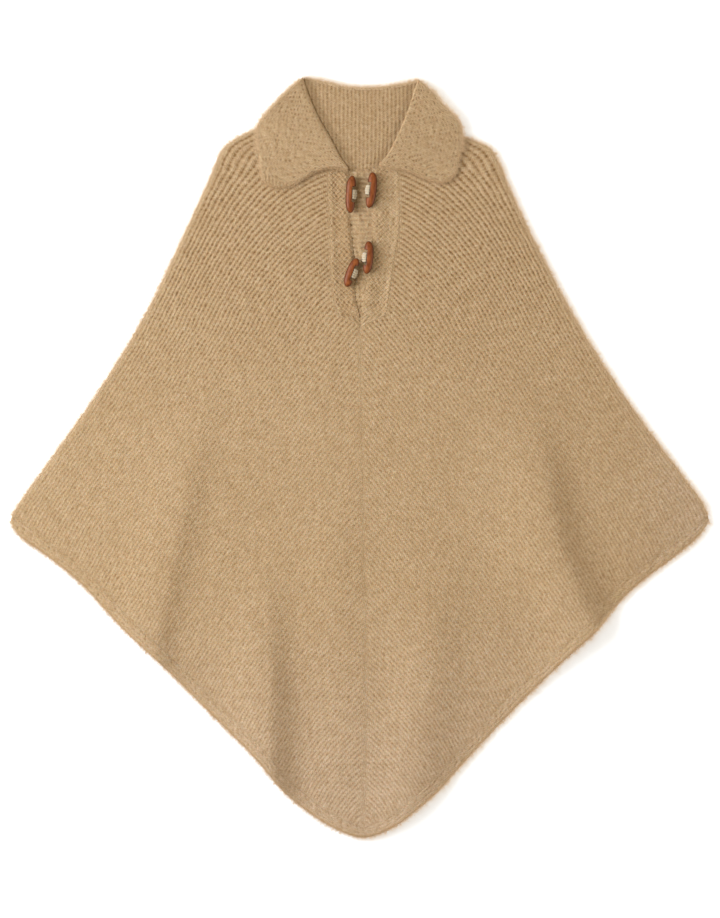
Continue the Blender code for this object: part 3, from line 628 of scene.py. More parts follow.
def knit_half(side, columns, samples, open_front, face_height, plain_height):
    """A closed half: a knitted face over its stitches, a plain face behind it and a rim."""
    lines = wale_lines(side, columns, samples, open_front)
    starts = np.cumsum([0] + [len(line[1]) for line in lines])
    plane = np.vstack([line[1] for line in lines])
    wale = np.concatenate([np.full(len(line[1]), line[0]) for line in lines])
    row = np.concatenate([line[2] for line in lines])
    edge = np.abs(x_at(FOLDS[side], plane[:, 1]) - plane[:, 0]) * FOLD_SLANT
    margin = ease((edge - MARGIN_START) / MARGIN_WIDTH)
    height, shade = stocking(wale, row, openness(plane[:, 1]) * margin)
    height, shade = close_edges(side, plane, wale, row, open_front, height, shade)
    dx, dy = wander(plane[:, 0], plane[:, 1])
    x, y = plane[:, 0] + dx, plane[:, 1] + dy
    face = np.column_stack([x, y, face_height(x, y, height, edge / EDGE_ROLL)])

    ring, chosen, triangles = plain_net(lines, starts, plane)
    plain = face[chosen].copy()
    plain[:, 2] = plain_height(plain[:, 0], plain[:, 1], face[chosen, 2])
    count = len(face)
    faces = column_faces(lines, starts)
    faces += [[count + v for v in triangle] for triangle in triangles]
    for k in range(len(ring)):
        after = (k + 1) % len(ring)
        faces.append([ring[k], ring[after], count + after, count + k])
    values = knit_values(
        np.concatenate([wale, wale[chosen]]),
        np.concatenate([row, row[chosen]]),
        np.concatenate([shade, np.full(len(chosen), BEHIND_PAINTED_SHADE)]),
    )
    return np.vstack([face, plain]), faces, values


def front_face(x, y, height, edge):
    """Top of the front: ripples and stitches, turned down at the side fold."""
    top = FRONT_TOP + PROUD - RELIEF * (1.0 - height) + ripple_height(x, y) + unevenness(x, y)
    top -= placket_dimple(x, y)
    lip = FRONT_BOTTOM + EDGE_LIP
    return lip + (top - lip) * quarter_round(edge)


def front_plain(x, y, face):
    """Underside of the front."""
    return np.minimum(FRONT_BOTTOM + ripple_height(x, y), face - EDGE_LIP * FRONT_THINNEST)


def back_face(x, y, height, edge):
    """Underside of the back: the ridges of its stitches touch the surface."""
    bottom = RELIEF * (1.0 - height)
    lip = WALL - EDGE_LIP
    return lip + (bottom - lip) * quarter_round(edge)


def back_plain(x, y, face):
    """Top of the back."""
    return np.maximum(np.full_like(x, BACK_TOP), face + EDGE_LIP * BACK_THINNEST)


DIMPLE = (0.0, 0.1680, 0.0030, 0.0080, 0.0008)  # x, y, half width, half length, depth


def placket_dimple(x, y):
    """The hollow that the pull of the placket leaves just below its foot."""
    cx, cy, width, length, depth = DIMPLE
    return depth * np.exp(-(((x - cx) / width) ** 2) - ((y - cy) / length) ** 2)


def build_front():
    """The two halves of the front, which meet on the mitre."""
    for side, label in ((-1, "left"), (1, "right")):
        points, faces, values = knit_half(
            side, FRONT_COLUMNS, FRONT_SAMPLES, True, front_face, front_plain
        )
        half = add_piece(
            "front_" + label, points, faces, BODY_YARN, ("body_front",), values
        )


def build_back():
    """The back, both of its halves in one piece."""
    points, faces, values = [], [], {}
    for side in (-1, 1):
        some, more, numbers = knit_half(
            side, BACK_COLUMNS, BACK_SAMPLES, False, back_face, back_plain
        )
        shift = sum(len(part) for part in points)
        faces += [[v + shift for v in face] for face in more]
        points.append(some)
        for label, value in numbers.items():
            values[label] = np.concatenate([values.get(label, []), value])
    back = add_piece(
        "back", np.vstack(points), faces, BODY_YARN, ("body_back",), values
    )


# ---------------------------------------------------------------- hem

HEM_STITCH = 0.0046  # pitch of the stitches along the hem
HEM_COURSE = 0.0056  # pitch of the rows that run along it
HEM_SAMPLES = 3  # to a stitch
HEM_RELIEF, HEM_DISORDER, HEM_SHADE = 0.0016, 0.6, 0.45  # of its rows of bumps
HEM_HOLES = 0.0030  # distance from the seam of the line of small holes
HEM_HOLE_DEPTH, HEM_HOLE_WIDTH, HEM_HOLE_SHADE = 0.0007, 0.0012, 0.5
HEM_ROLL = 0.0070
HEM_RIM = 0.0045  # width over which the shade of the stitches ends at the edge
HEM_TOP_POINTS = 20
HEM_BOTTOM_POINTS = 4
HEM_ROUNDING = 0.0340  # length over which the corner of the hem is rounded
HEM_TIP_ROLL = 0.0090  # length over which an end comes down at a tip
HEM_EDGE_LEFT = 0.12  # part of the thickness that is left at the very edge
HEM_BACK_INSET = 0.0012  # by which the back's border is narrower
# Columns: piece, node, what it lies on.
HEMS = (
    ("hem_border_front", "hem_front", "body_back"),
    ("hem_border_back", "hem_back", "floor"),
)


def rounded(curve, reach):
    """The curve with its corners smoothed over a reach, its ends kept."""
    step = lengths_along(curve)[-1] / (len(curve) - 1)
    count = int(reach / step)
    weights = np.hanning(2 * count + 3)
    weights /= weights.sum()
    padded = np.vstack([
        2 * curve[0] - curve[count + 1:0:-1], curve, 2 * curve[-1] - curve[-2:-count - 3:-1]
    ])
    return np.column_stack([np.convolve(padded[:, k], weights, "valid") for k in (0, 1)])


def hem_lines(inset):
    """Points along the seam and the edge, from the left tip round to the right one."""
    seams, edges = [], []
    for side in (-1, 1):
        count = int(lengths_along(EDGES[side])[-1] / HEM_STITCH * HEM_SAMPLES) + 1
        seam, edge = resample(SEAMS[side], count), resample(EDGES[side], count)
        seams.append(seam if side < 0 else seam[::-1][1:])
        edges.append(edge if side < 0 else edge[::-1][1:])
    seam, edge = np.vstack(seams), rounded(np.vstack(edges), HEM_ROUNDING)
    away = (edge - seam) / np.linalg.norm(edge - seam, axis=1)[:, None]
    to_tip = np.minimum(np.arange(len(seam)), len(seam) - 1 - np.arange(len(seam)))
    tuck = TUCK * ease(to_tip * HEM_STITCH / HEM_SAMPLES / HEM_TIP_ROLL)[:, None]
    return seam - tuck * away, edge - inset * away


def hem_relief(stitch, distance):
    """How far the border's rows of bumps lie below its top, and how shaded each point is."""
    bumps = purl(stitch, distance / HEM_COURSE, HEM_DISORDER)
    beat = (0.5 + 0.5 * np.cos(2 * np.pi * stitch)) * stitch_chance(stitch + 0.5, HEM_PLACE)
    hole = beat * np.exp(-(((distance - HEM_HOLES) / HEM_HOLE_WIDTH) ** 2))
    drop = HEM_RELIEF * (1.0 - bumps) + HEM_HOLE_DEPTH * hole
    return drop, np.clip(HEM_HOLE_SHADE * hole + HEM_SHADE * (1.0 - bumps), 0.0, 1.0)


def build_border(name, node, rests_on):
    """One hem border: a knitted band, tucked under the body at its seam, with a rounded edge."""
    front = node == "hem_front"
    here = np.concatenate(
        [np.linspace(0.0, 1.0, HEM_TOP_POINTS), np.linspace(1.0, 0.0, HEM_BOTTOM_POINTS)]
    )
    upper = np.arange(len(here)) < HEM_TOP_POINTS
    seams, edges = hem_lines(0.0 if front else HEM_BACK_INSET)
    distance = np.tile(here * HEM_BAND, (len(seams), 1))
    stitch = np.tile(np.arange(len(seams))[:, None] / HEM_SAMPLES, (1, len(here)))
    x, y = (seams[:, k:k + 1] + (edges - seams)[:, k:k + 1] * here for k in (0, 1))
    drop, painted_shade = hem_relief(stitch, distance)
    painted_shade = painted_shade * ease((HEM_BAND - distance) / HEM_RIM)
    drop = drop + TUCK_DROP * (1.0 - ease(distance / TUCK))
    to_tip = np.minimum(stitch, stitch[-1, 0] - stitch) * HEM_STITCH
    roll = quarter_round((1.0 - here) * HEM_BAND / HEM_ROLL) * quarter_round(to_tip / HEM_TIP_ROLL)
    roll = np.maximum(roll, HEM_EDGE_LEFT)
    if front:
        middle, lift = (FRONT_TOP + FRONT_BOTTOM) / 2, ripple_height(x, y)
        level = np.where(upper, FRONT_TOP + PROUD - drop, FRONT_BOTTOM)
    else:
        middle, lift = WALL / 2, 0.0
        level = np.where(upper, BACK_TOP, drop - drop.min())
    z = middle + (level - middle) * roll + lift
    points = np.column_stack([x.ravel(), y.ravel(), z.ravel()])
    values = knit_values(stitch, distance / HEM_COURSE, painted_shade)
    faces = loop_faces(len(seams), len(here))
    border = add_piece(name, points, faces, BODY_YARN, (node,), values)


# ---------------------------------------------------------------- collar

COLLAR_WALE = 0.0040
COLLAR_ROW = 0.0052
PURL_RELIEF = 0.0020
LEAF_ROWS = 150
LEAF_PARTS = np.linspace(0.0, 1.0, 96)  # across the top of a leaf, from its fold to its edge
LEAF_UNDER_PARTS = (0.80, 0.55, 0.30, 0.10)
LEAF_EDGE_ROLL = 0.0062
LEAF_SLOPE = 0.0700  # length over which the leaf comes down from the doubled part
LEAF_WRAP = 0.0026  # thickness of the cloth that turns down to the surface at the outer corner
LEAF_WRAP_FROM = 0.4300  # height above which the outer edge is a fold down to the surface
LEAF_WRAP_EASE = 0.0120
LEAF_LIFT = 0.0006  # of the free edge above the body
LEAF_FOLD_UNDER = 0.0030  # width of the slope under the fold
LEAF_RIB_DEPTH = 0.0100  # of the short ribs along the left leaf's free edge
LEAF_RIB_BELOW, LEAF_RIB_EASE, LEAF_RIB, LEAF_RIB_SHARE = 0.3720, 0.0080, 0.0046, 0.5
LEAF_CLEARANCE = 0.00005  # of its underside above the body
LEAF_THINNEST = 0.0002  # at the free edge
LEAF_MOST_WRAP, LEAF_MOST_FOLD = 0.45, 0.08  # parts of a narrow leaf that those may take
LEAF_WRAP_END = 1.02  # width at which the underside is reached, as a part of the wrap's
LEAF_UNEVENNESS = 0.5  # against the body's
EDGE_START = 0.02  # part of its rounding that the very edge starts with
LEFT_FOLD, RIGHT_FOLD = spline(LEAF_FOLD_LEFT), spline(LEAF_FOLD_RIGHT)
# Columns: piece, node, fold, free edge, slant of the rows, the x that they turn about, width over
# which the fold rounds over, part of the thickness that its very edge keeps, ribs along the edge.
LEAVES = (
    ("leaf_left", "collar_leaf_left", LEFT_FOLD, LEFT_EDGE_LINE, -0.06, 0.10, 0.0075, 0.50, True),
    ("leaf_right", "collar_leaf_right", RIGHT_FOLD, RIGHT_EDGE_LINE, 0.20, -0.10, 0.0040, 0.70, False),
)


def leaf_level(x, y):
    """Top of a leaf, higher where the stand is folded beneath it."""
    doubled = ease(0.5 + (y - y_at(NECK_CURVE, x)) / LEAF_SLOPE)
    return LEAF_UNDERSIDE + WALL + LAYER * doubled


def leaf_under(a, b, edge_foot):
    """The plain underside, from the free edge back to the fold."""
    width = max(np.linalg.norm(b - a), TINY)
    wrap = min(LEAF_WRAP / width, LEAF_MOST_WRAP)
    fold = min(LEAF_FOLD_UNDER / width, LEAF_MOST_FOLD)
    low, edge_low = LEAF_UNDERSIDE + LEAF_CLEARANCE, edge_foot - LEAF_THINNEST
    under = [(1.0, edge_low), (1.0 - wrap, edge_low), (1.0 - wrap * LEAF_WRAP_END, low)]
    under += [(part * (1.0 - wrap), low) for part in LEAF_UNDER_PARTS]
    under += [(fold, low + LEAF_LIFT)]
    return np.array([(*(a + (b - a) * part), height) for part, height in under])


def leaf_section(a, b, slant, pivot, fold_roll, fold_kept, ribbed):
    """Cross-section of a leaf from its fold at a to its free edge at b."""
    width = np.linalg.norm(b - a)
    x, y = (a + (b - a) * LEAF_PARTS[:, None]).T
    from_edge = (1.0 - LEAF_PARTS) * width
    u, v = x / COLLAR_WALE, (y - slant * (x - pivot)) / COLLAR_ROW
    bumps = purl(u, v)
    if ribbed:
        border = LEAF_RIB_SHARE * ease((LEAF_RIB_BELOW - y) / LEAF_RIB_EASE)
        border *= from_edge < LEAF_RIB_DEPTH
        bumps = bumps + border * (0.5 + 0.5 * np.cos(2 * np.pi * x / LEAF_RIB) - bumps)
    level = leaf_level(x, y) + LEAF_UNEVENNESS * unevenness(x, y)
    wrap = float(ease((b[1] - LEAF_WRAP_FROM) / LEAF_WRAP_EASE))
    edge_foot = LEAF_UNDERSIDE + LEAF_LIFT + (EDGE_LIP - LEAF_UNDERSIDE) * wrap
    fold_foot = LEAF_UNDERSIDE + fold_kept * (level[0] - LEAF_UNDERSIDE)
    z = level + PROUD - PURL_RELIEF * (1.0 - bumps)
    z = fold_foot + (z - fold_foot) * quarter_round(LEAF_PARTS * width / fold_roll + EDGE_START)
    z = edge_foot + (z - edge_foot) * quarter_round(from_edge / LEAF_EDGE_ROLL + EDGE_START)
    return section(np.column_stack([x, y, z]), u, v, 1.0 - bumps, leaf_under(a, b, edge_foot))


def build_leaves():
    """The two ends of the collar, folded over the front."""
    for name, node, fold, edge, *look in LEAVES:
        lines = zip(resample(fold, LEAF_ROWS), resample(edge, LEAF_ROWS))
        sections = [leaf_section(a, b, *look) for a, b in lines]
        loft(
            name, sections, COLLAR_YARN, "collar_knit", node,
            flat=(0.12, 0.14), held="folded", rests_on=["body_front"], area=0.0100,
        )


STAND_RIB = 0.0052
STAND_HALF_RIBS = 15.4
# Columns: y, width of the stand there, as a part of its full one.
STAND_NARROW = ((0.3700, 0.86), (0.3900, 0.97), (0.4110, 1.0), (0.5000, 1.0))
STAND_FOOT_PASSES = 4  # of the search for the foot of a rib
STAND_ROLL = 0.0060
STAND_SEAM = 0.0002  # gap to the front's neckline
STAND_DIP = 0.0020  # how far the stand comes down at the neckline
STAND_DIP_LENGTH = 0.0120
STAND_INSET = 0.0035  # clearance inside the leaves' turned-down cloth
STAND_INSET_FROM = 0.0760
STAND_RELIEF = 0.0021
STAND_ROW = 0.0046
STAND_OPENNESS, STAND_SHADE = 0.65, 0.14
STAND_DRIFT = 0.20  # how far the furrows stray, in ribs
STAND_DRIFT_RIBS, STAND_DRIFT_LENGTH = 3.0, 0.014  # over which that changes
STAND_RISE, STAND_RISE_WIDTH, STAND_TUCK = 0.0034, 0.0120, 0.0030  # up to the left leaf's fold
STAND_SINK, STAND_SINK_WIDTH = 0.0010, 0.0110  # down to the right leaf's fold
STAND_COLUMNS = 5  # to a rib
STAND_ROWS = 80
BEHIND_ROWS = 7


def collar_top(x):
    """Top edge of the collar's inner layers, clear of the leaves' turned-down cloth."""
    return float(y_at(TOP_CURVE, x)) - (STAND_INSET if abs(x) > STAND_INSET_FROM else 0.0)


def stand_lean(x, y):
    """Height that the stand gains towards the left leaf's fold and loses towards the right one's."""
    left, right = x - x_at(LEFT_FOLD, y), x_at(RIGHT_FOLD, y) - x
    gained = ease(1.0 - left / STAND_RISE_WIDTH) * np.clip(1.0 + left / STAND_TUCK, 0.0, 1.0)
    return STAND_RISE * gained - STAND_SINK * ease(1.0 - right / STAND_SINK_WIDTH)


def stand_section(rib):
    """Cross-section of the stand along one rib, which draws in a little down to the placket."""
    across = rib * STAND_RIB
    top = collar_top(across) - GAP
    foot = NECK_BOTTOM[1]
    for _ in range(STAND_FOOT_PASSES):
        foot = float(y_at(NECK_CURVE, across * from_table(STAND_NARROW, foot))) + STAND_SEAM
    y = np.linspace(foot, top, STAND_ROWS)
    x = across * from_table(STAND_NARROW, y)
    v = y / STAND_ROW
    drift = soft_chance(rib / STAND_DRIFT_RIBS, y / STAND_DRIFT_LENGTH, RIB_PLACE) - 0.5
    bumps, shade = stocking(rib + STAND_DRIFT * drift, v, STAND_OPENNESS)
    level = FRONT_TOP + PROUD - STAND_RELIEF * (1.0 - bumps) + stand_lean(x, y)
    level -= STAND_DIP * (1.0 - ease((y - foot) / STAND_DIP_LENGTH))
    lip = FRONT_BOTTOM + EDGE_LIP
    z = lip + (level - lip) * quarter_round((top - y) / STAND_ROLL)
    y_behind = np.linspace(top, foot, BEHIND_ROWS)
    x_behind = across * from_table(STAND_NARROW, y_behind)
    behind = np.column_stack([x_behind, y_behind, np.full(BEHIND_ROWS, FRONT_BOTTOM)])
    shade = np.clip(shade + STAND_SHADE, 0.0, 1.0)
    return section(np.column_stack([x, y, z]), np.full_like(y, rib), v, shade, behind)


def build_stand():
    """The ribbed inside of the collar."""
    count = int(2 * STAND_HALF_RIBS * STAND_COLUMNS) + 1
    ribs = np.linspace(-STAND_HALF_RIBS, STAND_HALF_RIBS, count)
    loft(
        "stand", [stand_section(rib) for rib in ribs], COLLAR_YARN, "collar_knit", "collar_stand",
        flat=(0.160, 0.120), held="folded", rests_on=["collar_fall"], area=0.0155,
    )


FALL_COLUMNS = 130
FALL_ROWS = 56
FALL_ROLL = 0.0045
FALL_LEAST = 0.0020  # depth of the fall at its ends


def fall_section(x):
    """Cross-section of the fall, its purl side on the surface."""
    free = float(y_at(NECK_CURVE, x)) + FALL_SETBACK
    top = max(collar_top(x) - 2 * GAP, free + FALL_LEAST)
    y = np.linspace(free, top, FALL_ROWS)
    u, v = np.full_like(y, x / COLLAR_WALE), y / COLLAR_ROW
    bumps = purl(u, v)
    lip = WALL - EDGE_LIP
    face = PURL_RELIEF * (1.0 - bumps)
    from_edge = np.minimum(top - y, y - free)
    z = lip + (face - lip) * quarter_round(from_edge / FALL_ROLL + EDGE_START)
    y_behind = np.linspace(top, free, BEHIND_ROWS)
    behind = np.array([(x, y_at_back, BACK_TOP) for y_at_back in y_behind])
    return section(np.column_stack([np.full_like(y, x), y, z]), u, v, 1.0 - bumps, behind)


def build_fall():
    """The back of the collar, folded down behind the stand."""
    places = np.linspace(-FALL_HALF_WIDTH, FALL_HALF_WIDTH, FALL_COLUMNS)
    loft(
        "fall", [fall_section(x) for x in places], COLLAR_YARN, "collar_knit", "collar_fall",
        flat=(0.244, 0.110), held="folded", rests_on=["floor"], area=0.0205,
    )


# ---------------------------------------------------------------- placket

BAND_ROWS = 190
BAND_PARTS = np.linspace(0.0, 1.0, 30)  # across a band, from its seam to its inner edge
BAND_BEHIND = np.array((1.0, 0.8, 0.5, 0.2, 0.0))
BAND_WALE, BAND_ROW = 0.0064, 0.0068  # pitch of its moss stitch
BAND_RELIEF = 0.0018
BAND_EDGE_ROLL = 0.0050
BAND_FOOT_LIP = 0.0030  # thickness that both inner edges keep where they meet at the foot
BAND_MEET_FROM, BAND_MEET_LENGTH = 0.2080, 0.0280
BAND_RIDGE = (0.0004, 0.0020)  # height and width of the raised lines along a band
# Columns: piece, node, side, columns of its seam and inner edge, distances of its raised lines
# from the seam, thickness that its inner edge keeps, painted shade on its wool (painted light below
# zero).
BANDS = (
    ("band_left", "placket_band_left", -1, LEFT_SEAM, LEFT_EDGE, (0.0035,), 0.0014, 0.30),
    ("band_right", "placket_band_right", 1, RIGHT_SEAM, RIGHT_EDGE, (0.0030, 0.0115), 0.0030, -0.15),
)
BAND_START = 0.10  # part of its thickness that a band's edge or end starts with
BAND_END_ROLL = 0.003
BAND_SHADE, BAND_RIDGE_LIGHT = 0.9, 0.3  # how shaded its dips are, and how much less its ridges
CREASE = ((0.0169, 0.2444), (0.0364, 0.2535), 0.0013, 0.0020)  # ends, depth, width
CREASE_IN, CREASE_OUT = 0.15, 0.35  # parts of its length over which it deepens and fades


def crease_depth(x, y):
    """The crease that the lower right toggle pulls into the right band."""
    (x0, y0), (x1, y1), depth, width = CREASE
    run = np.hypot(x1 - x0, y1 - y0)
    along = ((x - x0) * (x1 - x0) + (y - y0) * (y1 - y0)) / run**2
    off = ((x - x0) * (y1 - y0) - (y - y0) * (x1 - x0)) / run
    fade = ease(along / CREASE_IN) * ease((1.0 - along) / CREASE_OUT)
    return depth * fade * np.exp(-((off / width) ** 2))


def band_ends(y, side, seam, edge):
    """Outer and inner x of a band, drawn together below the slit."""
    outside, inside = float(placket_x(y, seam)) + side * TUCK, float(placket_x(y, edge))
    low = PLACKET_ROWS[-1][0]
    near = max((low - y) / (low - BAND_FOOT[1]), 0.0)
    outside += (side * BAND_FOOT[0] - outside) * near
    inside += (side * GAP - inside) * near
    return outside, inside


def climbed(y):
    """How far the placket's inner edges stand up on the underlap: less at its foot and top."""
    low = ease((y - UNDERLAP_FOOT + BAND_SETTLE_START) / BAND_SETTLE)
    return low * ease((BAND_TOP - y) / BAND_TOP_SLOPE)


def band_bottom(x, y, seam):
    """Underside of a band, which climbs from the front's level onto the underlap."""
    climb = ease((np.abs(x - float(placket_x(y, seam))) - BAND_FLAT) / BAND_CLIMB)
    return FRONT_BOTTOM + LAYER * climb * climbed(y)


def band_section(y, side, seam, edge, ridges, lip, shade):
    """Cross-section of a band at one height."""
    outside, inside = band_ends(y, side, seam, edge)
    x = outside + (inside - outside) * BAND_PARTS
    from_seam = np.abs(x - outside)
    bottom = band_bottom(x, y, seam)
    u, v = from_seam / BAND_WALE, np.full_like(x, y / BAND_ROW)
    bumps = moss(u, v)
    height, width = BAND_RIDGE
    raised = sum(np.exp(-(((from_seam - centre) / width) ** 2)) for centre in ridges)
    level = bottom + WALL + PROUD - BAND_RELIEF * (1.0 - bumps) + height * raised
    drop = TUCK_DROP * float(ease((y - BAND_FOOT[1]) / BAND_MEET_LENGTH))
    level -= crease_depth(x, y) + drop * (1.0 - ease(from_seam / TUCK))
    together = float(ease((BAND_MEET_FROM - y) / BAND_MEET_LENGTH))
    lip = bottom + lip + (BAND_FOOT_LIP - lip) * together
    from_edge = (1.0 - BAND_PARTS) * abs(inside - outside)
    end = quarter_round(min(BAND_TOP - y, y - BAND_FOOT[1]) / BAND_END_ROLL + BAND_START)
    z = lip + (level - lip) * ease(from_edge / BAND_EDGE_ROLL + BAND_START) * end
    x_behind = outside + (inside - outside) * BAND_BEHIND
    level_behind = band_bottom(x_behind, y, seam)
    behind = np.column_stack([x_behind, np.full_like(x_behind, y), level_behind])
    painted_shade = shade + BAND_SHADE * (1.0 - bumps) - BAND_RIDGE_LIGHT * raised
    face = np.column_stack([x, np.full_like(x, y), z])
    return section(face, u, v, np.clip(painted_shade, 0.0, 1.0), behind)


def build_bands():
    """The two bands beside the slit."""
    for name, node, *look in BANDS:
        heights = np.linspace(BAND_TOP, BAND_FOOT[1], BAND_ROWS)
        loft(
            name, [band_section(y, *look) for y in heights], PLACKET_YARN, "placket_knit", node,
            flat=(0.033, 0.194), held="laid", rests_on=["placket_underlap"], area=0.0052,
        )


GARTER_ROW = 0.0059
GARTER_WALE = 0.0040
GARTER_RELIEF, GARTER_DISORDER, GARTER_DASHES = 0.0024, 0.25, 0.25
SLIT_FOOT = 0.1730  # where the tongue that fills the slit below the underlap ends
UNDERLAP_ROWS = 150
UNDERLAP_SHOWN = np.linspace(0.0, 1.0, 34)  # across the strip, from the left band to the right one
UNDERLAP_SWELL = 0.0034  # how far it rises between the bands
UNDERLAP_AT_LEFT = 0.50  # part of that which it has right beside the left band
UNDERLAP_RISE = 0.0140  # width over which it gains the rest
UNDERLAP_CORNER = 0.0004  # width of its turn under a band
UNDERLAP_CORNER_SHARE = 0.3  # most of the tuck that this turn may take
UNDERLAP_TUCK_LENGTH = 0.0010  # length over which it widens above its foot


def underlap_section(y):
    """Cross-section of the strip at one height, tucked under both bands above its foot."""
    tuck = UNDERLAP_TUCK * float(ease((y - UNDERLAP_FOOT) / UNDERLAP_TUCK_LENGTH)) + GAP
    left, right = float(placket_x(y, LEFT_EDGE)), float(placket_x(y, RIGHT_EDGE))
    corner = min(UNDERLAP_CORNER, UNDERLAP_CORNER_SHARE * tuck)
    shown = left + (right - left) * UNDERLAP_SHOWN
    x = np.concatenate([[left - tuck, left - corner], shown, [right + corner, right + tuck]])
    u, v = x / GARTER_WALE, np.full_like(x, y / GARTER_ROW)
    bumps = purl(u, v, GARTER_DISORDER, GARTER_DASHES)
    rise = UNDERLAP_AT_LEFT + (1.0 - UNDERLAP_AT_LEFT) * ease((x - left) / UNDERLAP_RISE)
    rise[[0, 1, -2, -1]] = 0.0
    rise *= climbed(y)
    z = FRONT_TOP - GARTER_RELIEF * (1.0 - bumps) + UNDERLAP_SWELL * rise
    behind = np.array([(x[part], y, FRONT_BOTTOM) for part in (-1, len(x) // 2, 0)])
    return section(np.column_stack([x, np.full_like(x, y), z]), u, v, 1.0 - bumps, behind)


def build_underlap():
    """The garter-stitch strip that shows between the bands."""
    sections = [underlap_section(y) for y in np.linspace(UNDERLAP_TOP, SLIT_FOOT, UNDERLAP_ROWS)]
    loft(
        "underlap", sections, PLACKET_YARN, "placket_knit", "placket_underlap",
        flat=(0.048, 0.174), held="laid", rests_on=["body_back"], area=0.0070,
    )


# ---------------------------------------------------------------- toggles

TOGGLE_SIDES = 32
TOGGLE_STATIONS = 60
TOGGLE_REACH = 0.995  # of the end rings, which close the bar, as a part of its half length
NOTCH_EDGE = 0.0006  # length of the slope at each end of the notch
NOTCH_CUT = 0.985  # part of the wood that the notch takes away, so that its floor stays round
STRANDS = 4
STRAND_OVERLAP = 0.80  # spacing of the strands, in their own thickness
STRAND_SIDES = 10
STRAND_STEPS = 18
STRAND_TOP = 0.95  # height of the strands on the bar, as a part of its thickness
STRAND_BEND_END = 0.55  # part of a strand that bends over, before it goes straight down
STRAND_END_SIZE, STRAND_END_STEPS = 0.70, 2.0  # size of its ends, and steps that they widen over


def placed(points, middle, lean):
    """Points of an upright part, leant in the plane and moved to its place."""
    turn = np.radians(lean)
    c, s = np.cos(turn), np.sin(turn)
    x, y, z = np.asarray(points).T
    return np.column_stack([middle[0] + c * x - s * y, middle[1] + s * x + c * y, z])


def toggle_points(length, notch_side):
    """Rings of a bowed, rounded bar with a notch cut into one side."""
    half = length / 2
    notch = NOTCH_LENGTH / 2
    even = half * np.sin(np.linspace(-np.pi / 2, np.pi / 2, TOGGLE_STATIONS)) * TOGGLE_REACH
    corners = [sign * (notch + shift) for sign in (-1, 1) for shift in (0.0, NOTCH_EDGE)]
    stations = np.sort(np.concatenate([even, corners]))
    angle = np.arange(TOGGLE_SIDES) * 2 * np.pi / TOGGLE_SIDES
    rings = []
    for at in stations:
        part = abs(at) / half
        size = np.sqrt(1.0 - min(part, 1.0) ** TOGGLE_SQUARENESS)
        bow = -notch_side * TOGGLE_BOW * (1.0 - part**2)
        x = np.cos(angle) * TOGGLE_WIDTH / 2 * size + bow
        cut = float(ease((notch + NOTCH_EDGE - abs(at)) / NOTCH_EDGE))
        over = np.maximum(x * notch_side - NOTCH_FLOOR, 0.0)
        x = x - notch_side * over * cut * NOTCH_CUT
        z = TOGGLE_UNDERSIDE + TOGGLE_THICKNESS / 2 * (1.0 + np.sin(angle) * size)
        rings.append(np.column_stack([x, np.full_like(x, at), z]))
    return np.vstack(rings), len(stations)


def strand_points(notch_side, foot, y_middle, radius):
    """A strand of the sewing yarn: out of the notch's floor, over and down into the cloth."""
    inner = notch_side * (NOTCH_FLOOR - THREAD_SINK + radius)
    reach = THREAD_WIDTH + THREAD_SINK - 2 * radius
    reach -= THREAD_ROUNDING * (2 * y_middle / THREAD_LENGTH) ** 2
    top = TOGGLE_UNDERSIDE + TOGGLE_THICKNESS * STRAND_TOP
    part = np.linspace(0.0, 1.0, STRAND_STEPS)
    bend = np.pi / 2 * np.clip(part / STRAND_BEND_END, 0.0, 1.0)
    x = inner + notch_side * reach * np.sin(bend)
    z = top - radius - reach * (1.0 - np.cos(bend))
    z = z - (z[-1] - foot - radius) * ease((part - 0.5) / 0.5)
    path = np.column_stack([x, np.full_like(x, y_middle), z])
    turns = np.arange(STRAND_SIDES) * 2 * np.pi / STRAND_SIDES
    sideways = np.array([0.0, 1.0, 0.0])
    rings = []
    for k, point in enumerate(path):
        before, after = path[max(k - 1, 0)], path[min(k + 1, len(path) - 1)]
        ahead = (after - before) / np.linalg.norm(after - before)
        up = np.cross(ahead, sideways)
        wide = quarter_round(min(k, STRAND_STEPS - 1 - k) / STRAND_END_STEPS)
        size = radius * (STRAND_END_SIZE + (1.0 - STRAND_END_SIZE) * wide)
        ring = np.outer(np.cos(turns), sideways) + np.outer(np.sin(turns), up)
        rings.append(point + size * ring)
    return np.vstack(rings)


def thread_block(notch_side, foot):
    """Points and faces of all the strands that hold one toggle."""
    pitch = THREAD_LENGTH / (STRANDS - 1 + 1.0 / STRAND_OVERLAP)
    radius = pitch / STRAND_OVERLAP / 2
    points, faces = [], []
    for k in range(STRANDS):
        some = strand_points(notch_side, foot, (k - (STRANDS - 1) / 2) * pitch, radius)
        shift = k * len(some)
        faces += [tuple(v + shift for v in face) for face in loop_faces(STRAND_STEPS, STRAND_SIDES)]
        points.append(some)
    return np.vstack(points), faces


def build_toggles():
    """The wooden bars and the yarn at their notches."""
    for name, x, y, length, lean, notch_side, foot in TOGGLES:
        points, count = toggle_points(length, notch_side)
        add_piece(
            "bar_" + name, placed(points, (x, y), lean), loop_faces(count, TOGGLE_SIDES),
            TOGGLE_WOOD, ("toggle_" + name,),
        )
        points, faces = thread_block(notch_side, foot)
        add_piece(
            "yarn_" + name, placed(points, (x, y), lean), faces,
            THREAD_YARN, ("thread_" + name,),
        )


# ---------------------------------------------------------------- loose fibres

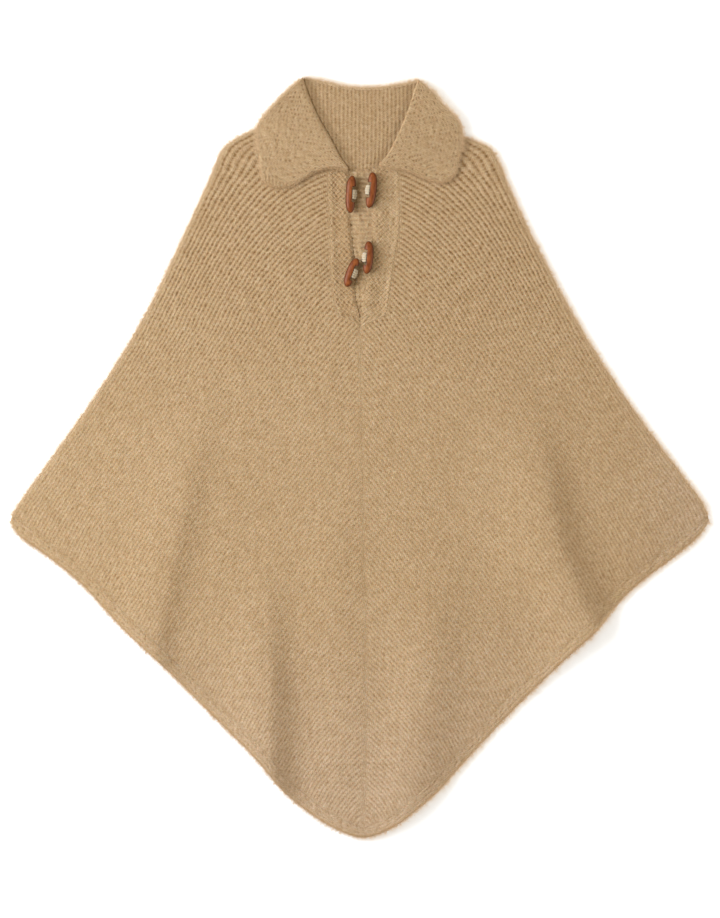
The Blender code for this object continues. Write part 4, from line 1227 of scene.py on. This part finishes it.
FIBRE_SPACING = 0.000062
FIBRE_LENGTH = (0.0020, 0.0140)
FIBRE_SHORTNESS = 2.0  # the higher, the fewer long ones
FIBRE_RADIUS = 0.00013  # at the root
FIBRE_SPREAD = 0.75  # sideways lean of a fibre from straight out, in radians
FIBRE_LIFT = 0.10  # lean up or down, in radians
FIBRE_INSET = 0.0042  # furthest root from the edge of the cloth
FIBRE_INSET_SHARE = 1.6  # the higher, the more of them stand near the edge
FIBRE_LOWEST = 0.0003
FIBRE_STEP = 0.0005  # to either side of a root, to find the outline's direction
HEM_OUTLINE_POINTS = 400  # on each side
FIBRE_FACES = ((0, 1, 3), (1, 2, 3), (2, 0, 3), (2, 1, 0))
FUZZ_DROP = 0.0034  # how far the very edge lies below the cloth beside it


def front_level(x, y):
    """Top of the front."""
    return FRONT_TOP + ripple_height(x, y)


def stretch(line, low, high):
    """The part of a line between two heights."""
    return line[(line[:, 1] > low) & (line[:, 1] < high)]


def hem_outline():
    """The hem's edge from the left tip round to the right one, its corners rounded."""
    left, right = (resample(EDGES[side], HEM_OUTLINE_POINTS) for side in (-1, 1))
    return rounded(np.vstack([left, right[::-1][1:]]), HEM_ROUNDING)


# Columns: outline, sign of its outward side, level of the cloth, width over which it turns down,
# share of the fibres' length and number.
FUZZY_EDGES = (
    (FOLDS[-1], 1, front_level, EDGE_ROLL, 1.0),
    (FOLDS[1], -1, front_level, EDGE_ROLL, 1.0),
    (hem_outline(), 1, front_level, HEM_ROLL, 1.0),
    (TOP_CURVE[np.abs(TOP_CURVE[:, 0]) < STAND_INSET_FROM], -1, front_level, STAND_ROLL, 1.0),
    (stretch(LEFT_EDGE_LINE, HALO_FROM, 1.0), 1, leaf_level, LEAF_EDGE_ROLL, 1.0),
    (stretch(RIGHT_EDGE_LINE, HALO_FROM, 1.0), -1, leaf_level, LEAF_EDGE_ROLL, 1.0),
    (stretch(LEFT_EDGE_LINE, 0.0, HALO_FROM), 1, leaf_level, LEAF_EDGE_ROLL, 0.60),
    (stretch(RIGHT_EDGE_LINE, 0.0, HALO_FROM), -1, leaf_level, LEAF_EDGE_ROLL, 0.60),
)


def fibres(outline, sign, level, roll, share):
    """Points of the loose fibres along one outline: straight, three-sided and pointed."""
    length = lengths_along(outline)[-1]
    count = int(length / FIBRE_SPACING * share)
    along = np.sort(chance.random(count)) * length
    root = at_length(outline, along)
    before = at_length(outline, np.maximum(along - FIBRE_STEP, 0.0))
    ahead = at_length(outline, np.minimum(along + FIBRE_STEP, length)) - before
    outward = np.arctan2(ahead[:, 1], ahead[:, 0]) - sign * np.pi / 2
    inset = FIBRE_INSET * chance.random(count) ** FIBRE_INSET_SHARE
    root = root - inset[:, None] * np.column_stack([np.cos(outward), np.sin(outward)])
    drop = FUZZ_DROP * (1.0 - quarter_round(inset / roll))
    base = np.column_stack([root, level(root[:, 0], root[:, 1]) - drop])
    heading = outward + FIBRE_SPREAD * chance.normal(size=count)
    lift = FIBRE_LIFT * chance.normal(size=count)
    shortest, longest = FIBRE_LENGTH
    reach = shortest + (share * longest - shortest) * chance.random(count) ** FIBRE_SHORTNESS
    flat = np.cos(lift)
    forward = np.column_stack([np.cos(heading) * flat, np.sin(heading) * flat, np.sin(lift)])
    sideways = np.column_stack([-np.sin(heading), np.cos(heading), np.zeros(count)])
    upward = np.cross(forward, sideways)
    points = []
    for turn in np.arange(3) * 2 * np.pi / 3:
        points.append(base + FIBRE_RADIUS * (np.cos(turn) * sideways + np.sin(turn) * upward))
    points.append(base + reach[:, None] * forward)
    points = np.stack(points, axis=1).reshape(-1, 3)
    points[:, 2] = np.maximum(points[:, 2], FIBRE_LOWEST)
    return points


def build_fuzz():
    """The halo of wool fibres round every outline."""
    for k, edge in enumerate(FUZZY_EDGES):
        points = fibres(*edge)
        starts = range(0, len(points), 4)
        faces = [tuple(v + start for v in face) for start in starts for face in FIBRE_FACES]
        add_piece("fuzz_%d" % (k + 1), points, faces, FUZZ_YARN)


# ---------------------------------------------------------------- materials

CAMEL = (0.461, 0.325, 0.185, 1.0)
# Painted shade: the colour that the holes, furrows and dips of the knitting darken towards.
CAMEL_HOLE_SHADE = (0.170, 0.076, 0.014, 1.0)  # in the holes
CAMEL_ROSY = (0.476, 0.348, 0.230, 1.0)  # towards the hem's point and the right tip
ROSY_FROM, ROSY_TO = (0.33, -0.15), (0.46, -0.45)  # x and y between which it turns rosy
ROSY_FLECK, ROSY_MOTTLING = (330.0, 2.0, 0.6), 0.35  # noise, and how far it moves that change
# Mottling of the wool: columns bumps to a metre, detail, roughness, darkest and lightest factor.
MOTTLING = (
    (9.0, 2.0, 0.5, 0.98, 1.02),
    (260.0, 3.0, 0.5, 0.94, 1.06),
    (620.0, 2.0, 0.6, 0.85, 1.15),
)
NOISE_LOW, NOISE_HIGH = 0.3, 0.7  # a noise seldom leaves these
CORE_LOW, CORE_HIGH = 0.35, 0.65  # the middle of a noise, for stronger contrast
# The stitches' own random tones, and painted shade in the valleys between the plies, lighter on their
# crests.
STITCH_TONES, PLY_SHADE_RANGE = (0.94, 1.06), (0.95, 1.04)
# values of the painted shade over which the wool darkens
PAINTED_SHADE_RANGE = (0.05, 0.95)
GREEN_POWER, BLUE_POWER = 1.30, 1.80  # darker wool is also browner
PLY_BUMP, WOOL_BUMP = (0.4, 0.0004), (0.45, 0.0006)  # strength, height
WOOL_GRAIN = (900.0, 3.0, 0.65)
SHEEN = (1.0, 0.78, 0.52, 1.0)
FUZZ_DARK, FUZZ_LIGHT = (0.58, 0.42, 0.25, 1.0), (0.74, 0.57, 0.37, 1.0)
# Painted light: a faint glow of the fibres, standing in for light that comes through them.
FUZZ_PAINTED_GLOW = (0.70, 0.52, 0.32, 1.0)
THREAD_DARK, THREAD_LIGHT = (0.43, 0.36, 0.25, 1.0), (0.52, 0.44, 0.32, 1.0)
WOOD_DARK, WOOD_LIGHT = (0.135, 0.030, 0.007, 1.0), (0.310, 0.094, 0.026, 1.0)
# Painted shade along the sides of the bars, where the surface turns away from straight up.
WOOD_SIDE_SHADE, SIDE_SHADE_SHARE = (0.030, 0.006, 0.002, 1.0), 0.85
SIDE_SHADE_FROM, SIDE_SHADE_TO = 0.96, 0.35  # upward part of the surface's direction there
WOOD_STRETCH = (1.0, 0.16, 1.0)  # draws the streaks out nearly along the bars
STREAK, CLOUD = (900.0, 3.0, 0.6), (110.0, 2.0, 0.5)  # noises: bumps to a metre, detail, roughness
STREAK_SHARE = 0.7  # against the clouds
WOOD_ROUGHNESS = (0.36, 0.48)
MIX_FACTOR, MIX_FIRST, MIX_SECOND, MIX_RESULT = 0, 6, 7, 2  # sockets of a colour mix


class Nodes:
    """Short calls for a material's nodes."""

    def __init__(self, name):
        self.material = bpy.data.materials.new(name)
        self.material.use_nodes = True
        self.tree = self.material.node_tree
        self.shader = self.tree.nodes["Principled BSDF"]

    def fill(self, node, inputs):
        """Link or set inputs of a node, by their names or numbers."""
        for label, value in inputs.items():
            if isinstance(value, bpy.types.NodeSocket):
                self.tree.links.new(value, node.inputs[label])
            else:
                node.inputs[label].default_value = value

    def add(self, kind, inputs=(), **settings):
        node = self.tree.nodes.new(kind)
        for label, value in settings.items():
            setattr(node, label, value)
        self.fill(node, dict(inputs))
        return node

    def math(self, operation, *values):
        return self.add("ShaderNodeMath", enumerate(values), operation=operation).outputs[0]

    def attribute(self, name):
        return self.add("ShaderNodeAttribute", attribute_name=name).outputs["Fac"]

    def place(self):
        return self.add("ShaderNodeTexCoord").outputs["Object"]

    def noise(self, scale, detail=2.0, roughness=0.5, vector=None):
        inputs = {"Scale": scale, "Detail": detail, "Roughness": roughness}
        inputs["Vector"] = vector or self.place()
        return self.add("ShaderNodeTexNoise", inputs).outputs["Fac"]

    def ramp(self, value, low, high, to_low=0.0, to_high=1.0):
        inputs = {"Value": value, "From Min": low, "From Max": high}
        inputs.update({"To Min": to_low, "To Max": to_high})
        return self.add("ShaderNodeMapRange", inputs).outputs["Result"]

    def mix(self, part, first, second, blend="MIX"):
        inputs = {MIX_FACTOR: part, MIX_FIRST: first, MIX_SECOND: second}
        node = self.add("ShaderNodeMix", data_type="RGBA", blend_type=blend)
        self.fill(node, inputs)
        return node.outputs[MIX_RESULT]

    def bump(self, height, strength, distance, before=None):
        inputs = {"Height": height, "Strength": strength, "Distance": distance}
        if before is not None:
            inputs["Normal"] = before
        return self.add("ShaderNodeBump", inputs).outputs["Normal"]

    def finish(self, colour, normal, roughness, **constants):
        inputs = {label.replace("_", " "): value for label, value in constants.items()}
        inputs.update({"Base Color": colour, "Normal": normal, "Roughness": roughness})
        self.fill(self.shader, inputs)
        return self.material


def yarn_plies(n):
    """Waves from -1 to 1 along the plies of the two legs of a stitch."""
    leg = n.math("FRACT", n.attribute("wale"))
    leg = n.math("ABSOLUTE", n.math("SUBTRACT", n.math("MULTIPLY", leg, 2.0), 1.0))
    turns = n.math("ADD", n.math("MULTIPLY", n.attribute("row"), 2.0), leg)
    return n.math("SINE", n.math("MULTIPLY", turns, 2 * np.pi))


def rosiness(n):
    """From 0 to 1 towards the hem's point and the right tip, in flecks."""
    place = n.add("ShaderNodeSeparateXYZ", {0: n.place()})
    ends = zip("XY", ROSY_FROM, ROSY_TO)
    rose = n.math("MAXIMUM", *(n.ramp(place.outputs[axis], low, high) for axis, low, high in ends))
    fleck = n.ramp(n.noise(*ROSY_FLECK), CORE_LOW, CORE_HIGH, -ROSY_MOTTLING, ROSY_MOTTLING)
    return n.ramp(n.math("ADD", rose, fleck), 0.0, 1.0)


def yarn(name, hole_shade_strength):
    """Wool: painted shade in its holes, furrows and dips and between its plies, heathered, with plies
    and fibres in its bump and a soft sheen.
    """
    n = Nodes(name)
    plies = yarn_plies(n)
    value = n.ramp(n.attribute("tone"), 0.0, 1.0, *STITCH_TONES)
    # painted shade between the plies
    value = n.math("MULTIPLY", value, n.ramp(plies, -1.0, 1.0, *PLY_SHADE_RANGE))
    for scale, detail, roughness, dark, light in MOTTLING:
        shade = n.ramp(n.noise(scale, detail, roughness), NOISE_LOW, NOISE_HIGH, dark, light)
        value = n.math("MULTIPLY", value, shade)
    base = n.mix(rosiness(n), CAMEL, CAMEL_ROSY)
    # painted shade: darker towards the shade colour in the holes, furrows and dips
    base = n.mix(n.ramp(n.attribute("painted_shade"), *PAINTED_SHADE_RANGE, 0.0, hole_shade_strength), base, CAMEL_HOLE_SHADE)
    green, blue = (n.math("POWER", value, power) for power in (GREEN_POWER, BLUE_POWER))
    tint = n.add("ShaderNodeCombineColor", {0: value, 1: green, 2: blue}).outputs[0]
    base = n.mix(1.0, base, tint, "MULTIPLY")
    normal = n.bump(n.noise(*WOOL_GRAIN), *WOOL_BUMP, n.bump(plies, *PLY_BUMP))
    return n.finish(
        base, normal, 0.95, Sheen_Weight=0.40, Sheen_Roughness=0.5, Sheen_Tint=SHEEN,
        Specular_IOR_Level=0.10, Subsurface_Weight=0.20, Subsurface_Radius=(1.0, 0.45, 0.2),
        Subsurface_Scale=0.003,
    )


def toggle_wood():
    """Polished reddish-brown wood with long streaks, and painted shade along its sides."""
    n = Nodes("toggle_wood")
    stretched = n.add("ShaderNodeMapping", {"Vector": n.place(), "Scale": WOOD_STRETCH}).outputs[0]
    streak, cloud = n.noise(*STREAK, stretched), n.noise(*CLOUD)
    part = n.math("MULTIPLY", streak, STREAK_SHARE)
    part = n.math("ADD", part, n.math("MULTIPLY", cloud, 1.0 - STREAK_SHARE))
    colour = n.mix(n.ramp(part, CORE_LOW, CORE_HIGH), WOOD_DARK, WOOD_LIGHT)
    upward = n.add("ShaderNodeSeparateXYZ", {0: n.add("ShaderNodeTexCoord").outputs["Normal"]})
    # painted shade on the sides, by how far the surface turns away from up
    side_shade = n.ramp(upward.outputs["Z"], SIDE_SHADE_FROM, SIDE_SHADE_TO)
    colour = n.mix(n.math("MULTIPLY", side_shade, SIDE_SHADE_SHARE), colour, WOOD_SIDE_SHADE)
    roughness = n.ramp(cloud, NOISE_LOW, NOISE_HIGH, *WOOD_ROUGHNESS)
    return n.finish(colour, n.bump(streak, 0.15, 0.0002), roughness, Specular_IOR_Level=0.18)


def fuzz_yarn():
    """The loose ends of the wool: painted paler than the yarn and with a faint painted glow, for the
    light that comes through them.
    """
    n = Nodes("camel_fuzz")
    colour = n.mix(n.noise(300.0), FUZZ_DARK, FUZZ_LIGHT)
    normal = n.bump(n.noise(2000.0), 0.2, 0.0001)
    # the emission is a painted glow
    return n.finish(
        colour, normal, 1.0, Sheen_Weight=0.3, Sheen_Tint=SHEEN, Specular_IOR_Level=0.1,
        Emission_Color=FUZZ_PAINTED_GLOW, Emission_Strength=0.06,
    )


def thread_yarn():
    """Cream sewing yarn."""
    n = Nodes("cream_thread")
    colour = n.mix(n.ramp(n.noise(700.0), NOISE_LOW, NOISE_HIGH), THREAD_DARK, THREAD_LIGHT)
    normal = n.bump(n.noise(1500.0), 0.4, 0.0003)
    return n.finish(
        colour, normal, 0.9, Sheen_Weight=0.2, Specular_IOR_Level=0.1, Subsurface_Weight=0.4,
        Subsurface_Radius=(1.0, 0.8, 0.6), Subsurface_Scale=0.002,
    )


# How far the painted shade darkens the deepest holes: 1 is all of the shade colour.
BODY_YARN = yarn("camel_body", 0.85)
COLLAR_YARN = yarn("camel_collar", 0.58)
PLACKET_YARN = yarn("camel_placket", 0.55)
FUZZ_YARN = fuzz_yarn()
TOGGLE_WOOD = toggle_wood()
THREAD_YARN = thread_yarn()


# ---------------------------------------------------------------- floor, light and camera

FLOOR_HALF = 4.0
FLOOR_GLOW = 0.45  # the surface is overexposed, so its shadows stay pale
VIEW_CENTRE = (0.0, -0.0013)
VIEW_HEIGHT = 1.1934  # of the picture, at the surface
LENS_MM, SENSOR_MM = 200.0, 36.0
CLIP_END = 20.0
FLOOR_DARK, FLOOR_LIGHT = (0.84, 0.895, 0.96, 1.0), (0.85, 0.90, 0.96, 1.0)
WHITE = (1.0, 1.0, 1.0, 1.0)
WORLD_COLOUR, WORLD_STRENGTH = (1.0, 0.87, 0.69, 1.0), 0.50
# Columns: name, place, width, watts, colour.
LIGHTS = (
    ("key", (-3.02, 0.45, 2.1), 2.7, 207.0, (0.96, 1.0, 1.06)),
    ("rim", (3.2, -0.6, 0.8), 1.2, 34.0, (1.0, 1.0, 1.0)),
)


def build_floor():
    """A plain pale surface."""
    n = Nodes("pale_floor")
    colour = n.mix(n.noise(6.0), FLOOR_DARK, FLOOR_LIGHT)
    paint = n.finish(
        colour, n.bump(n.noise(400.0), 0.02, 0.0002), 0.9, Specular_IOR_Level=0.0,
        Emission_Strength=FLOOR_GLOW, Emission_Color=WHITE,
    )
    mesh = bpy.data.meshes.new("floor")
    corners = [(-1, -1), (1, -1), (1, 1), (-1, 1)]
    mesh.from_pydata([(a * FLOOR_HALF, b * FLOOR_HALF, 0.0) for a, b in corners], [], [(0, 1, 2, 3)])
    mesh.materials.append(paint)
    floor = bpy.data.objects.new("floor", mesh)
    bpy.context.scene.collection.objects.link(floor)


def add_light(name, place, size, watts, colour):
    """A square soft light that looks at the middle of the garment."""
    data = bpy.data.lights.new(name, "AREA")
    data.shape = "SQUARE"
    data.size = size
    data.energy = watts
    data.color = colour
    light = bpy.data.objects.new(name, data)
    light.location = place
    light.rotation_euler = (-Vector(place)).to_track_quat("-Z", "Y").to_euler()
    bpy.context.scene.collection.objects.link(light)


def build_world():
    """The room's own soft light."""
    world = bpy.data.worlds.new("studio")
    world.use_nodes = True
    background = world.node_tree.nodes["Background"]
    background.inputs["Color"].default_value = WORLD_COLOUR
    background.inputs["Strength"].default_value = WORLD_STRENGTH
    bpy.context.scene.world = world


def build_camera():
    """The camera, straight above, and plain colours."""
    data = bpy.data.cameras.new("camera")
    data.lens = LENS_MM
    data.sensor_width = SENSOR_MM
    data.clip_end = CLIP_END
    camera = bpy.data.objects.new("camera", data)
    camera.location = (*VIEW_CENTRE, VIEW_HEIGHT * LENS_MM / SENSOR_MM)
    scene = bpy.context.scene
    scene.collection.objects.link(camera)
    scene.camera = camera
    scene.view_settings.view_transform = "Standard"
    scene.view_settings.look = "None"


build_front()
build_back()
for hem in HEMS:
    build_border(*hem)
build_leaves()
build_stand()
build_fall()
build_bands()
build_underlap()
build_toggles()
build_fuzz()
build_floor()
for light in LIGHTS:
    add_light(*light)
build_world()
build_camera()
